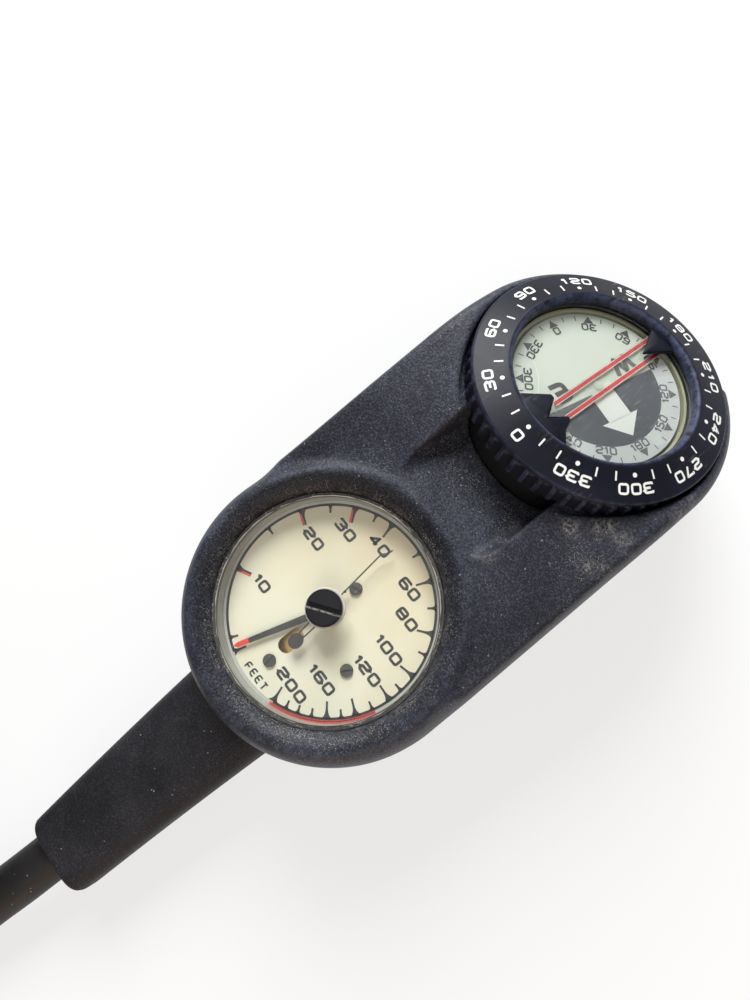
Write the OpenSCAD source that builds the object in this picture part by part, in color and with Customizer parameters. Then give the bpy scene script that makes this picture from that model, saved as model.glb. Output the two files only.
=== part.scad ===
// Diving instrument console: a moulded rubber boot with a depth gauge,
// a tilted liquid-filled compass, a pressure gauge back to back with the
// depth gauge, and the high-pressure hose that feeds it.
// Millimetres. +Z up, +Y along the console from the hose to the compass.
// The origin lies on the resting plane, under the middle of the boot.

/* [Boot] */
// Radius of the round end that holds the gauges
boot_gauge_r = 32.7; // [32.2:0.1:36]
// Radius of the round end that holds the compass
boot_compass_r = 31; // [30.6:0.1:35]
// Height of the boot beside the gauges
boot_h = 42.5; // [41:0.5:46]
// Height of the collar's crest above the boot round the depth gauge
collar_h = 2.5; // [1:0.5:5]
// Radius of the collar's crest
collar_crest_r = 28; // [27:0.5:30]
// Edge rounding where the boot meets the resting plane
base_round = 5; // [2:0.5:7]
// Distance from the gauges' axis to the start of the finger scoop
scoop_y = 31; // [30:0.5:34]
// Width of the finger scoop in front of the compass
scoop_w = 26; // [18:1:30]
// Fall of the scoop's floor towards the compass, in degrees
scoop_fall = 24; // [15:1:30]
// Half angle of the low wall at the far end of the compass cradle
far_wall_a = 33; // [20:1:45]
// Width of the neck where it leaves the boot
neck_w = 27.6; // [26:0.2:34]
// Width of the neck at the hose
neck_end_w = 20.2; // [20:0.2:26]
// Height of the neck where it leaves the boot
neck_h = 21; // [20:0.5:26]
// Height of the neck at the hose
neck_end_h = 17; // [16:0.5:22]
// Length of the neck beyond the gauges' axis
neck_reach = 90.3; // [85:0.1:110]

/* [Gauges] */
// Outer radius of both gauge cases
case_r = 25.4; // [25.2:0.1:26.4]
// Wall of the gauge cases round the movement
case_wall = 2.8; // [2.4:0.1:3]
// Wall of the gauge cases round the lens
rim_wall = 1.4; // [1.1:0.1:1.7]
// Height of the depth gauge's dial above the resting plane
depth_dial_z = 37; // [36:0.2:38.5]
// Height of the pressure gauge's dial above the resting plane
pressure_dial_z = 8.5; // [8:0.1:9.2]
// Height of the plane where the two gauges meet
gauge_joint_z = 21.4; // [21:0.1:22]
// Thickness of a dial
dial_t = 0.6; // [0.4:0.1:0.8]
// Thickness of a lens
lens_t = 2; // [1.6:0.1:2.4]
// Space between a dial and its lens
lens_gap = 3.2; // [3:0.1:3.6]
// Length of the depth needle from its axis
needle_l = 22; // [18:0.5:22.3]
// Length of the greatest-depth hand from its axis
hand_l = 18.1; // [14:0.1:20]
// Radius of the opening in the depth gauge's back
port_r = 12; // [9:0.5:14]
// Radius of the reset knob
knob_r = 3.85; // [3:0.05:5]
// Height of the reset knob above the lens
knob_h = 2.3; // [1.6:0.1:3]
// Bearing of the depth needle at rest, clockwise from +Y
needle_rest_a = 197.8; // [180:0.1:215]
// Bearing of the greatest-depth hand at rest, clockwise from +Y
hand_rest_a = 353.8; // [240:0.1:359]
// Bearing of the pressure needle at rest, clockwise from its own top
pressure_rest_a = 225; // [200:1:240]

/* [Movement] */
// Gear module of sector and pinion
gear_m = 0.25; // [0.24:0.005:0.26]
// Teeth of the pinion
pinion_teeth = 12; // [12:1:12]
// Teeth that the sector would have as a full wheel
sector_teeth = 96; // [96:1:96]
// Radius of the movement's shafts
shaft_r = 0.6; // [0.5:0.05:0.7]
// Running clearance of the shafts, on the radius
run_gap = 0.05; // [0.02:0.01:0.08]
// Middle radius of the bourdon tubes
tube_mid_r = 21.2; // [21:0.1:21.4]
// Height of a bourdon tube's flattened section
tube_h = 5; // [4:0.2:5.4]
// Distance from the sector's pivot to its tail pin
tail_l = 5; // [4.4:0.1:5.4]

/* [Compass] */
// Distance from the gauges' axis to the middle of the bezel's face
compass_y = 73.76; // [73:0.1:78]
// Height of the middle of the bezel's face
compass_z = 45.8; // [44:0.2:48]
// Tilt of the compass towards the far end, in degrees
compass_tilt = 23; // [20:0.5:25]
// Outer radius of the bezel
bezel_r = 27.5; // [27:0.1:28]
// Width of the bezel's face, from its opening to its edge
bezel_face_w = 8.2; // [7.8:0.1:9]
// Width of the bezel's wall, from the neck on which it turns to its edge
bezel_wall_w = 5.9; // [5.5:0.05:6.1]
// Number of finger flutes round the bezel
flutes = 54; // [36:1:60]
// Depth of a flute
flute_d = 0.5; // [0.2:0.05:0.8]
// Gap between the bezel and the boot's cradle
cradle_gap = 0.5; // [0.3:0.1:1]
// Gap round the card
card_gap = 1.1; // [0.8:0.1:2]
// Length of the housing below the bezel
housing_l = 13; // [11:0.5:14]

/* [Hose] */
// Outer radius of the hose
hose_r = 5.9; // [5:0.1:6.5]
// Height of the hose's axis where it enters the neck
hose_z = 12; // [11.8:0.1:12.2]
// Radius of the coil's turns
coil_r = 59; // [59:1:80]
// Gap between one turn of the coil and the next
turn_gap = 0.8; // [0.6:0.1:3]
// Number of turns in the coil
coil_turns = 2; // [1.5:0.1:2]
// Thread radius of the supply fitting
supply_thread_r = 5.56; // [5.4:0.02:6]
// Length of the supply fitting's thread
supply_thread_l = 11; // [8:0.5:14]

/* [Hidden] */
$fn = 64;
eps = 0.01;

// Gauge frame: z = 0 is the dial's face, +z looks out through the lens
case_in_r = case_r - case_wall;
lens_r = case_r - rim_wall - run_gap;
dial_r = lens_r - 0.55;
ring_z = -dial_t - 1;
rim_z = lens_gap + lens_t - 0.4;
depth_back = gauge_joint_z - depth_dial_z;
pressure_back = pressure_dial_z - gauge_joint_z;
floor_t = 1.3;
lip_r = case_r - 0.6;

// Movement levels in the gauge frame
plate_t = 1.2;
top_plate_z = -4.4;
bottom_plate_z = -10.4;
gear_z = -8.4;
gear_t = 0.8;
link_z = gear_z + gear_t + 0.3;
plate_r = 17;
plate_y = -1.5;
needle_z = 0.6;
hand_z = 1.9;

// Gears: the sector's pivot stands off the needle's axis at this bearing
pinion_r = gear_m * pinion_teeth / 2;
sector_r = gear_m * sector_teeth / 2;
pivot_a = 150;
pivot = (pinion_r + sector_r) * [cos(pivot_a), sin(pivot_a)];
tooth_step = 360 / sector_teeth;
mesh_at_rest = 6 * tooth_step;
sector_a = pivot_a + 180 - mesh_at_rest;
tail_a = sector_a + 180;
tail_pin = pivot + tail_l * [cos(tail_a), sin(tail_a)];
tube_end_a = 183;
tube_start_a = -77;
lug_eye = [-19.3, -2];
tail_pin_r = 0.45;
dial_screw_at = [[0.24, 6.99], [12.25, -5.01], [0.38, -16.66]];
pillar_at = [[11.5, 5.5], [9, -13], [-8, -14.5]];
slot_at = [0, -10.6];
slot_size = [3.5, 6.2];

// Compass frame: z = 0 is the plane of the bezel's dots, +z out of its face
bezel_edge_z = -2;
bezel_base_z = -9;
lip_z = -1.9;
housing_top_z = -2.2;
shoulder_z = bezel_base_z - 0.4;
shoulder_h = 3;
shoulder_r = bezel_r - 3;
housing_r = shoulder_r - 1;
housing_base_z = shoulder_z - housing_l;
bezel_open_r = bezel_r - bezel_face_w;
bezel_bore_r = bezel_r - bezel_wall_w;
neck_r = bezel_bore_r - run_gap;
window_r = neck_r - 0.95;
ledge_z = -3.75;
chamber_r = window_r - 1.2;
card_r = chamber_r - card_gap;
recess_r = housing_r - 4.5;
window_z = -3.05;
window_t = 0.95;
card_z = -4.8;
card_t = 0.5;
lubber_z = window_z - 0.4;
bezel_turn = -1.2;
wire_z = -7.25;
wire_r = 0.33;

// Hose line: fittings lie on the neck's axis, y runs away from the gauge
stem_y = -(case_r + 0.2);
stem_end_y = -38;
stem_r = 5.5;
stem_neck_r = 1.6;
nut_y = -28.5;
nut_end_y = -42;
nut_flat = 14;
fit_y = stem_end_y - 0.2;
fit_end_y = -50;
spool_y = -33;
spool_l = 10.5;
spool_r = 1.45;
spool_bore_r = spool_r + run_gap;
ring_sec = 0.42;
ferrule_y = -48;
ferrule_l = 18;
ferrule_r = 7.2;

// Boot outline in plan: two arcs and their common tangent
gauge_c = [0, 0];
far_c = [0, compass_y - 3.8];
tangent_a = asin((boot_gauge_r - boot_compass_r) / norm(far_c - gauge_c));
arc_n = 15;
side_n = 14;

function smooth(t) = let (c = min(max(t, 0), 1)) c * c * (3 - 2 * c);
function mix(a, b, t) = a + (b - a) * t;

// The boot's middle is the origin, so the gauges' axis lies at gauge_y
gauge_y = (neck_reach - far_c[1] - boot_compass_r) / 2;

// Each outline point is [centre, radius, bearing of its normal]
outline_half = concat(
    [for (i = [0 : arc_n]) [gauge_c, boot_gauge_r, mix(-90, tangent_a, i / arc_n)]],
    [for (i = [1 : side_n - 1]) let (t = i / side_n)
        [mix(gauge_c, far_c, t), mix(boot_gauge_r, boot_compass_r, t), tangent_a]],
    [for (i = [0 : arc_n]) [far_c, boot_compass_r, mix(tangent_a, 90, i / arc_n)]]
);
half_n = len(outline_half) - 1;
around_n = 2 * half_n;

function outline_xy(i, inset) =
    let (mirrored = i > half_n,
        o = outline_half[mirrored ? around_n - i : i],
        p = o[0] + (o[1] - inset) * [cos(o[2]), sin(o[2])])
    mirrored ? [-p[0], p[1]] : p;

// The boot's top: a slow rise from the gauges, cut off parallel to the bezel at the compass
ramp_rise = 4.5;
ramp_to = 56;
cradle_rim_z = -3.5;
function soft_min(a, b, k) = let (h = min(max(0.5 + (b - a) / (2 * k), 0), 1))
    mix(b, a, h) - k * h * (1 - h);
function cradle_top(y) =
    compass_z + cradle_rim_z / cos(compass_tilt) - (y - compass_y) * tan(compass_tilt);
function boot_top(y) = soft_min(boot_h + ramp_rise * smooth(y / ramp_to), cradle_top(y), 4);

// Width and depth of the rounded top edge: broad at the gauges, sharp from the waist on
edge_gauges = [8, 12];
edge_waist = [2.4, 8.4];
edge_compass = [boot_compass_r - bezel_r - cradle_gap - 0.6, 4.4];
function edge(y) =
    mix(edge_gauges, edge_waist, smooth(y / 12)) + (edge_compass - edge_waist) * smooth((y - 44) / 22);

base_steps = 4;
top_steps = 8;
function base_ring(k) = let (a = 90 * k / base_steps)
    [for (i = [0 : around_n - 1])
        concat(outline_xy(i, base_round * (1 - sin(a))), base_round * (1 - cos(a)))];
function top_ring(k) = let (a = 90 * k / top_steps)
    [for (i = [0 : around_n - 1])
        let (y = outline_xy(i, 0)[1],
            p = outline_xy(i, edge(y)[0] * (1 - cos(a))))
        concat(p, boot_top(p[1]) - edge(p[1])[1] * (1 - sin(a)))];
boot_rings = concat([for (k = [0 : base_steps]) base_ring(k)], [for (k = [0 : top_steps]) top_ring(k)]);

// Hose route: free stretch, then the coil, whose turns lie on each other and whose end is tucked in
coil_entry = 5;
coil_lead = 12;
coil_tuck = 9;
lie_z = hose_r + 0.05;
turn_rise = 2 * hose_r + turn_gap;
end_rise = hose_r + 7.6;
hose_pts = [
    [0, -50, hose_z], [0, -70, hose_z], [0, -90, hose_z], [-0.1, -97, hose_z - 0.2],
    [-0.4, -105, hose_z - 0.7], [-0.9, -113, hose_z - 1.5], [-1.1, -122, hose_z - 2.7],
    [-1.1, -132, hose_z - 4.2], [-1, -141, hose_z - 5.3], [-1, -149, lie_z + 0.1],
    [-1, -155, lie_z], [-1, -160, lie_z]
];
coil_start = hose_pts[len(hose_pts) - 1];
coil_c = [coil_start[0] - coil_r, coil_start[1] - coil_entry];
coil_n = ceil(24 * coil_turns);
function coil_z(turn) =
    lie_z + turn_rise * smooth((turn - 0.65) / 0.28) + end_rise * smooth((turn - 1.65) / 0.28);
function coil_at(turn) =
    let (r = coil_r - coil_tuck * smooth((turn - coil_turns + 0.4) / 0.4), a = -360 * turn)
    [coil_c[0] + r * cos(a), coil_c[1] + r * sin(a), coil_z(turn)];
coil_end = coil_at(coil_turns);
coil_end_a = -360 * coil_turns;
coil_dir = [sin(coil_end_a), -cos(coil_end_a), 0];
coil_pts = concat(
    [coil_start],
    [for (i = [0 : coil_n]) coil_at(coil_turns * i / coil_n)],
    [coil_end + coil_lead * coil_dir]
);

// Least gap between stretches of the coil that aren't neighbours on it
coil_gap = min([for (i = [0 : len(coil_pts) - 1]) for (j = [i + 6 : 1 : len(coil_pts) - 1])
    norm(coil_pts[i] - coil_pts[j])]) - 2 * hose_r;
echo(coil_gap = coil_gap);

// ---- frames and shared forms ----

// Lengths along y are measured from the gauges' axis inside these frames
module from_gauge_axis() translate([0, gauge_y, 0]) children();
module at_depth_gauge() translate([0, gauge_y, depth_dial_z]) children();
module at_pressure_gauge() translate([0, gauge_y, pressure_dial_z]) rotate([0, 180, 0]) children();
module at_compass() translate([0, gauge_y + compass_y, compass_z]) rotate([-compass_tilt, 0, 0]) children();

// Lays a piece's +z along the hose line, away from the gauges, from y
module on_hose_line(y) translate([0, gauge_y + y, hose_z]) rotate([90, 0, 0]) children();

// Lays a piece's +z along the hose at the coil's loose end
module at_supply_end() {
    from_gauge_axis() translate(coil_end + coil_lead * coil_dir)
        rotate([0, 0, atan2(coil_dir[1], coil_dir[0])])
            rotate([0, 90, 0])
                children();
}

module ring(outer, inner, h) {
    difference() {
        cylinder(r = outer, h = h);
        translate([0, 0, -1]) cylinder(r = inner, h = h + 2);
    }
}

module o_ring(mid_r, sec_r) rotate_extrude() translate([mid_r, 0]) circle(r = sec_r, $fn = 24);

// Closed skin over rings of equal count, each counter-clockwise about the
// way the rings run; roof closes the last ring side to side
module skin(rings, roof = false) {
    n = len(rings[0]);
    last = (len(rings) - 1) * n;
    sides = [for (k = [0 : len(rings) - 2]) for (i = [0 : n - 1])
        let (a = k * n + i, b = k * n + (i + 1) % n)
        each [[a, a + n, b + n], [a, b + n, b]]];
    first_cap = [[for (i = [0 : n - 1]) i]];
    plain_cap = [[for (i = [n - 1 : -1 : 0]) last + i]];
    h = n / 2;
    roof_cap = concat(
        [[last + 1, last, last + n - 1]],
        [for (i = [1 : h - 2]) each [
            [last + i + 1, last + i, last + n - i],
            [last + i + 1, last + n - i, last + n - i - 1]]],
        [[last + h, last + h - 1, last + h + 1]]
    );
    points = [for (r = rings) each r];
    polyhedron(points = points, faces = concat(sides, first_cap, roof ? roof_cap : plain_cap));
}

function unit(v) = v / norm(v);
function ring_about(p, t, r, sides) =
    let (s = unit(cross([0, 0, 1], t)), u = cross(t, s))
    [for (i = [0 : sides - 1]) let (a = 360 * (i + 0.5) / sides)
        p + r * (cos(a) * s + sin(a) * u)];

module tube_along(pts, r, sides) {
    n = len(pts);
    skin([for (i = [0 : n - 1])
        ring_about(pts[i], unit(pts[min(i + 1, n - 1)] - pts[max(i - 1, 0)]), r, sides)]);
}

function squircle(a, w, h, power) = let (c = cos(a), s = sin(a))
    [sign(c) * pow(abs(c), 2 / power) * w, sign(s) * pow(abs(s), 2 / power) * h];

// Bar with round ends between two points of the plane
module bar(p, q, w) {
    v = q - p;
    translate(p) circle(d = w);
    translate(q) circle(d = w);
    translate(p) rotate(atan2(v[1], v[0])) translate([0, -w / 2]) square([norm(v), w]);
}

// ---- boot ----

module boot_body() skin(boot_rings, roof = true);

module boot_collar() {
    crest_z = boot_h + collar_h;
    fall_r = boot_gauge_r - 0.6;
    root_z = boot_h - 8.5;
    steps = 10;
    rotate_extrude() polygon(concat(
        [[lip_r - 1, root_z], [lip_r - 1, crest_z]],
        [for (i = [0 : steps]) let (a = 90 * i / steps)
            [collar_crest_r + (fall_r - collar_crest_r) * sin(a), crest_z - 9 * (1 - cos(a))]],
        [[fall_r, root_z]]
    ));
}

module boot_neck() {
    from_y = -26;
    neck_lean = 1.4;
    steps = 8;
    body = [for (k = [0 : steps]) let (t = k / steps)
        [mix(from_y, -neck_reach + 1, t), mix(neck_w, neck_end_w, t) / 2,
            mix(neck_h, neck_end_h, t) / 2, neck_lean * t * t]];
    end = [[-neck_reach, neck_end_w / 2 - 0.9, neck_end_h / 2 - 0.9, neck_lean]];
    skin([for (s = concat(body, end))
        [for (i = [0 : 31]) let (q = squircle(360 * i / 32, s[1], s[2], 4))
            [s[3] + q[0], s[0], hose_z + q[1]]]]);
}

module gauge_bore() {
    mouth_r = collar_crest_r - 0.8;
    back_z = pressure_dial_z - rim_z;
    lens_top_z = depth_dial_z + lens_gap + lens_t;
    translate([0, 0, back_z]) cylinder(r = case_r + 0.1, h = depth_dial_z + rim_z - back_z);
    translate([0, 0, -1]) cylinder(r = lip_r, h = boot_h + 10);
    translate([0, 0, lens_top_z])
        cylinder(r1 = lip_r - eps, r2 = mouth_r + 1.2, h = boot_h + collar_h + 1 - lens_top_z);
    translate([0, 0, -eps]) cylinder(r1 = mouth_r, r2 = lip_r, h = 2.4);
}

module hose_bores() {
    on_hose_line(-case_r + 3) cylinder(r = 8.4, h = 22.5 + 4);
    on_hose_line(ferrule_y + 2) cylinder(r = ferrule_r + 0.15, h = ferrule_l + 2.5);
    on_hose_line(ferrule_y) cylinder(r = hose_r + 0.2, h = neck_reach);
}

module compass_cradle() {
    at_compass() {
        translate([0, 0, bezel_base_z - 0.4]) cylinder(r = bezel_r + cradle_gap, h = 30);
        translate([0, 0, shoulder_z - shoulder_h]) cylinder(r = shoulder_r + 0.1, h = 20);
        translate([0, 0, housing_base_z]) cylinder(r = housing_r + 0.1, h = 20);
        translate([0, 0, bezel_base_z + 1.4]) rotate([0, 0, 90 - far_wall_a])
            rotate_extrude(angle = 2 * far_wall_a) translate([bezel_r - 2, 0]) square([20, 20]);
    }
}

// A channel with rounded lower edges, falling towards the compass
module finger_scoop() {
    fillet = 3;
    reach = far_c[1] - scoop_y;
    translate([0, scoop_y, boot_h + 1.6]) rotate([-90 - scoop_fall, 0, 0]) linear_extrude(reach) {
        translate([-scoop_w / 2, -reach]) square([scoop_w, reach - fillet]);
        translate([-scoop_w / 2 + fillet, -fillet - eps]) square([scoop_w - 2 * fillet, fillet + eps]);
        for (side = [-1, 1]) translate([side * (scoop_w / 2 - fillet), -fillet]) circle(r = fillet);
    }
}

module boot() {
    color([0.10, 0.11, 0.14]) difference() {
        from_gauge_axis() {
            boot_body();
            boot_collar();
            boot_neck();
        }
        from_gauge_axis() gauge_bore();
        hose_bores();
        compass_cradle();
        from_gauge_axis() finger_scoop();
    }
}

// ---- gauge pieces that both gauges share ----

// Cup with a step that carries the rehaut ring
module gauge_case(back) {
    difference() {
        translate([0, 0, back]) cylinder(r = case_r, h = rim_z - back);
        translate([0, 0, back + floor_t]) cylinder(r = case_in_r, h = rim_z - back);
        translate([0, 0, ring_z]) cylinder(r = case_r - rim_wall, h = rim_z - ring_z + 1);
    }
}

module gauge_lens() cylinder(r = lens_r, h = lens_t);

module gauge_rehaut() {
    difference() {
        translate([0, 0, ring_z]) cylinder(r = lens_r, h = lens_gap - ring_z);
        translate([0, 0, ring_z - 1]) cylinder(r = dial_r - 1.2, h = 10);
        translate([0, 0, -dial_t]) cylinder(r1 = dial_r, r2 = lens_r - 0.5, h = lens_gap + dial_t + eps);
    }
}

module dial_blank(screws) {
    translate([0, 0, -dial_t]) linear_extrude(dial_t) difference() {
        circle(r = dial_r - run_gap);
        circle(r = 2 * shaft_r);
        for (p = screws) translate(p) circle(r = 0.7);
        children();
    }
}

module slotted_screw(head_r) {
    difference() {
        union() {
            cylinder(r = head_r, h = 0.5);
            translate([0, 0, -2.2]) cylinder(r = 0.65, h = 2.3);
        }
        translate([-head_r - 1, -0.2, 0.2]) cube([2 * head_r + 2, 0.4, 1]);
    }
}

module dial_screws(screws) for (i = [0 : len(screws) - 1])
    translate(screws[i]) rotate([0, 0, 40 * i + 20]) slotted_screw(1.4);

module movement_holes() {
    circle(r = shaft_r + run_gap);
    translate(pivot) circle(r = shaft_r + run_gap);
}

// Upper plate with the feet that carry the dial
module top_plate(screws) {
    translate([0, 0, top_plate_z]) linear_extrude(plate_t) difference() {
        translate([0, plate_y]) circle(r = plate_r);
        movement_holes();
    }
    for (p = screws) translate([p[0], p[1], top_plate_z + plate_t]) difference() {
        cylinder(r = 1.3, h = -dial_t - top_plate_z - plate_t);
        cylinder(r = 0.7, h = 5);
    }
}

// Lower plate with the pillars that carry the upper one
module bottom_plate() {
    translate([0, 0, bottom_plate_z]) linear_extrude(plate_t) difference() {
        translate([0, plate_y]) circle(r = plate_r);
        movement_holes();
    }
    for (p = pillar_at) translate([p[0], p[1], bottom_plate_z + plate_t])
        cylinder(r = 1.4, h = top_plate_z - bottom_plate_z - plate_t);
}

module tube_block() {
    base = bottom_plate_z + plate_t;
    intersection() {
        translate([-5, -case_in_r, base]) cube([10, case_in_r - 17.5, top_plate_z - 0.2 - base]);
        translate([0, 0, base - 1]) cylinder(r = case_in_r - run_gap, h = 20);
    }
}

// Flattened tube bent to a C, with the lug that the link hangs on
module bourdon_tube() {
    mid_z = (bottom_plate_z + top_plate_z) / 2 - 0.3;
    rotate([0, 0, tube_start_a]) rotate_extrude(angle = tube_end_a - tube_start_a)
        translate([tube_mid_r, mid_z]) {
            square([1.4, tube_h - 1.4], center = true);
            for (s = [-1, 1]) translate([0, s * (tube_h / 2 - 0.7)]) circle(r = 0.7, $fn = 24);
        }
    rotate([0, 0, tube_end_a])
        translate([tube_mid_r - 0.9, -0.4, mid_z - tube_h / 2]) cube([1.8, 1, tube_h]);
    tip = (tube_mid_r - 0.2) * [cos(tube_end_a), sin(tube_end_a)];
    translate([0, 0, gear_z]) linear_extrude(gear_t - 0.1) bar(tip, lug_eye, 1.1);
}

// Straight-sided tooth on a wheel of pitch radius r; at is its bearing
module tooth(r, at, out, root, width) {
    rotate(at) polygon([
        [r - root, -width * 0.78], [r + out, -width * 0.32],
        [r + out, width * 0.32], [r - root, width * 0.78]
    ]);
}

tooth_w = gear_m * PI * 0.42;
tooth_out = gear_m * 0.75;
tooth_root = gear_m * 1.1;

module pinion() {
    translate([0, 0, bottom_plate_z + 0.1]) cylinder(r = shaft_r, h = needle_z + 0.8 - bottom_plate_z - 0.1);
    translate([0, 0, gear_z - 0.3]) linear_extrude(gear_t + 0.6) {
        circle(r = pinion_r - tooth_root);
        for (i = [0 : pinion_teeth - 1])
            tooth(pinion_r, pivot_a + 360 * i / pinion_teeth, tooth_out, tooth_root + 0.1, tooth_w);
    }
}

// Toothed arc, arm, hub and tail in one stamping, on its own shaft
module sector() {
    rim = 1.6;
    arc_half = 7 * tooth_step;
    inner_r = sector_r - tooth_root - rim;
    shaft_l = top_plate_z + plate_t - bottom_plate_z - 0.2;
    translate([pivot[0], pivot[1], 0]) {
        translate([0, 0, bottom_plate_z + 0.1]) cylinder(r = shaft_r, h = shaft_l);
        translate([0, 0, gear_z - 0.4]) cylinder(r = 1.6, h = gear_t + 0.8);
        translate([0, 0, gear_z]) rotate([0, 0, sector_a - arc_half])
            rotate_extrude(angle = 2 * arc_half) translate([inner_r, 0]) square([rim, gear_t]);
        translate([0, 0, gear_z]) linear_extrude(gear_t) rotate(sector_a) {
            for (i = [-7 : 6]) tooth(sector_r, (i + 0.5) * tooth_step, tooth_out, tooth_root + 0.1, tooth_w);
            bar([0, 0], [inner_r + rim / 2, 0], 1.5);
            bar([0, 0], [-tail_l, 0], 1.6);
        }
        rotate([0, 0, tail_a]) translate([tail_l, 0, gear_z]) cylinder(r = tail_pin_r, h = 1.9);
    }
}

module link() {
    translate([0, 0, link_z]) linear_extrude(0.6) difference() {
        bar(tail_pin, lug_eye, 1.4);
        translate(tail_pin) circle(r = tail_pin_r + run_gap);
        translate(lug_eye) circle(r = 0.4);
    }
}

// Flat pointer towards +Y with a hub pressed on its shaft
module pointer(length, hub_w, tip_w) {
    tip_y = length - 1;
    difference() {
        union() {
            translate([0, 0, needle_z]) cylinder(r = 1.5, h = 0.8);
            translate([0, 0, needle_z + 0.2]) linear_extrude(0.3) polygon([
                [-hub_w / 2, 0], [hub_w / 2, 0], [tip_w / 2, tip_y], [0, length], [-tip_w / 2, tip_y]
            ]);
        }
        translate([0, 0, needle_z - 1]) cylinder(r = shaft_r, h = 3);
    }
}

// ---- depth gauge ----

module depth_case() {
    color([0.35, 0.36, 0.36]) at_depth_gauge() difference() {
        gauge_case(depth_back);
        translate([0, 0, depth_back - 1]) cylinder(r = port_r, h = 5);
    }
}

module depth_diaphragm() color([0.15, 0.15, 0.16]) at_depth_gauge()
    translate([0, 0, depth_back + floor_t]) cylinder(r = port_r + 2, h = 0.8);

module diaphragm_ring() color("silver") at_depth_gauge()
    translate([0, 0, depth_back + floor_t + 0.8]) ring(port_r + 2, port_r + 0.2, 0.9);

module depth_lens() {
    color([0.85, 0.87, 0.86, 0.4]) at_depth_gauge() translate([0, 0, lens_gap]) difference() {
        gauge_lens();
        translate([0, 0, -1]) cylinder(r = 1 + run_gap, h = lens_t + 2);
        translate([0, 0, -1]) cylinder(r = 1.95, h = 1.85);
    }
}

module depth_rehaut() color([0.55, 0.55, 0.52]) at_depth_gauge() gauge_rehaut();

module oval(size) {
    for (s = [-1, 1]) translate([0, s * (size[1] - size[0]) / 2]) circle(d = size[0]);
    square([size[0], size[1] - size[0]], center = true);
}

module depth_dial() color([0.93, 0.90, 0.74]) at_depth_gauge()
    dial_blank(dial_screw_at) translate(slot_at) oval(slot_size);

module depth_dial_screws() color([0.12, 0.12, 0.12]) at_depth_gauge() dial_screws(dial_screw_at);

module depth_top_plate() color([0.74, 0.62, 0.36]) at_depth_gauge() top_plate(dial_screw_at);

module depth_bottom_plate() color([0.74, 0.62, 0.36]) at_depth_gauge() bottom_plate();

module depth_socket() color([0.68, 0.56, 0.32]) at_depth_gauge() tube_block();

module depth_bourdon_tube() color([0.78, 0.55, 0.35]) at_depth_gauge() bourdon_tube();

module depth_needle() color([0.08, 0.08, 0.08]) at_depth_gauge()
    rotate([0, 0, -needle_rest_a]) pointer(needle_l, 1.7, 1);

module depth_pinion() color([0.74, 0.62, 0.36]) at_depth_gauge() pinion();

module depth_sector() color([0.74, 0.62, 0.36]) at_depth_gauge() sector();

module depth_link() color("silver") at_depth_gauge() link();

// Slotted knob outside the lens, with the spindle that carries the hand
module reset_knob() {
    base = lens_gap + lens_t + 0.1;
    color([0.07, 0.07, 0.07]) at_depth_gauge() {
        difference() {
            translate([0, 0, base]) cylinder(r = knob_r, h = knob_h);
            translate([0, 0, base + knob_h]) rotate([0, 0, 35.4])
                translate([-knob_r - 1, -0.55, -0.8]) cube([2 * knob_r + 2, 1.1, 2]);
            translate([0, 0, base + knob_h - 0.5]) ring(knob_r + 1, knob_r - 0.35, 1);
        }
        translate([0, 0, hand_z - 0.1]) cylinder(r = 1, h = base - hand_z + 0.2);
    }
}

// Wire hand with a hooked tip, a dog for the needle and a counterweight
module max_hand() {
    wire = 0.28;
    bend = [0, hand_l - 2.2];
    color([0.08, 0.08, 0.08]) at_depth_gauge() rotate([0, 0, -hand_rest_a]) {
        translate([0, 0, hand_z]) {
            ring(1.8, 1, 0.9);
            translate([0, 0, 0.3]) linear_extrude(wire) {
                bar([0, 1.5], bend, wire);
                bar(bend, bend + [0.9, 1.1], wire);
                bar(bend + [0.9, 1.1], bend + [1.1, 2.2], wire);
                for (s = [-1, 1]) bar([s * 0.9, -1.3], [s * 0.6, -8.4], wire);
                translate([0, -9.4]) oval([3, 3.4]);
            }
        }
        translate([0, 5, hand_z - 0.5]) cylinder(r = 0.25, h = 0.9);
    }
}

module knob_seal() color([0.1, 0.1, 0.1]) at_depth_gauge()
    translate([0, 0, lens_gap + ring_sec]) o_ring(1 + run_gap + ring_sec, ring_sec);

// ---- pressure gauge ----

hose_in_gauge_z = pressure_dial_z - hose_z;
pressure_screw_at = [[-8, 9], [8, 9]];

// Carries a piece into the gauge frame along the stem's axis
module on_stem() translate([0, 0, hose_in_gauge_z]) rotate([90, 0, 0]) children();

module pressure_case() {
    color([0.45, 0.46, 0.48]) at_pressure_gauge() difference() {
        gauge_case(pressure_back);
        on_stem() cylinder(r = stem_neck_r + run_gap, h = 40);
        translate([0, 0, pressure_back - 1]) translate([14, 12, 0]) cylinder(r = 2, h = 5);
    }
}

module pressure_lens() color([0.85, 0.87, 0.86, 0.4]) at_pressure_gauge()
    translate([0, 0, lens_gap]) gauge_lens();

module pressure_rehaut() color([0.2, 0.2, 0.21]) at_pressure_gauge() gauge_rehaut();

module pressure_dial() color([0.93, 0.90, 0.74]) at_pressure_gauge() dial_blank(pressure_screw_at);

module pressure_dial_screws() color([0.12, 0.12, 0.12]) at_pressure_gauge()
    dial_screws(pressure_screw_at);

module pressure_top_plate() color([0.74, 0.62, 0.36]) at_pressure_gauge() top_plate(pressure_screw_at);

module pressure_bottom_plate() color([0.74, 0.62, 0.36]) at_pressure_gauge() bottom_plate();

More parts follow.
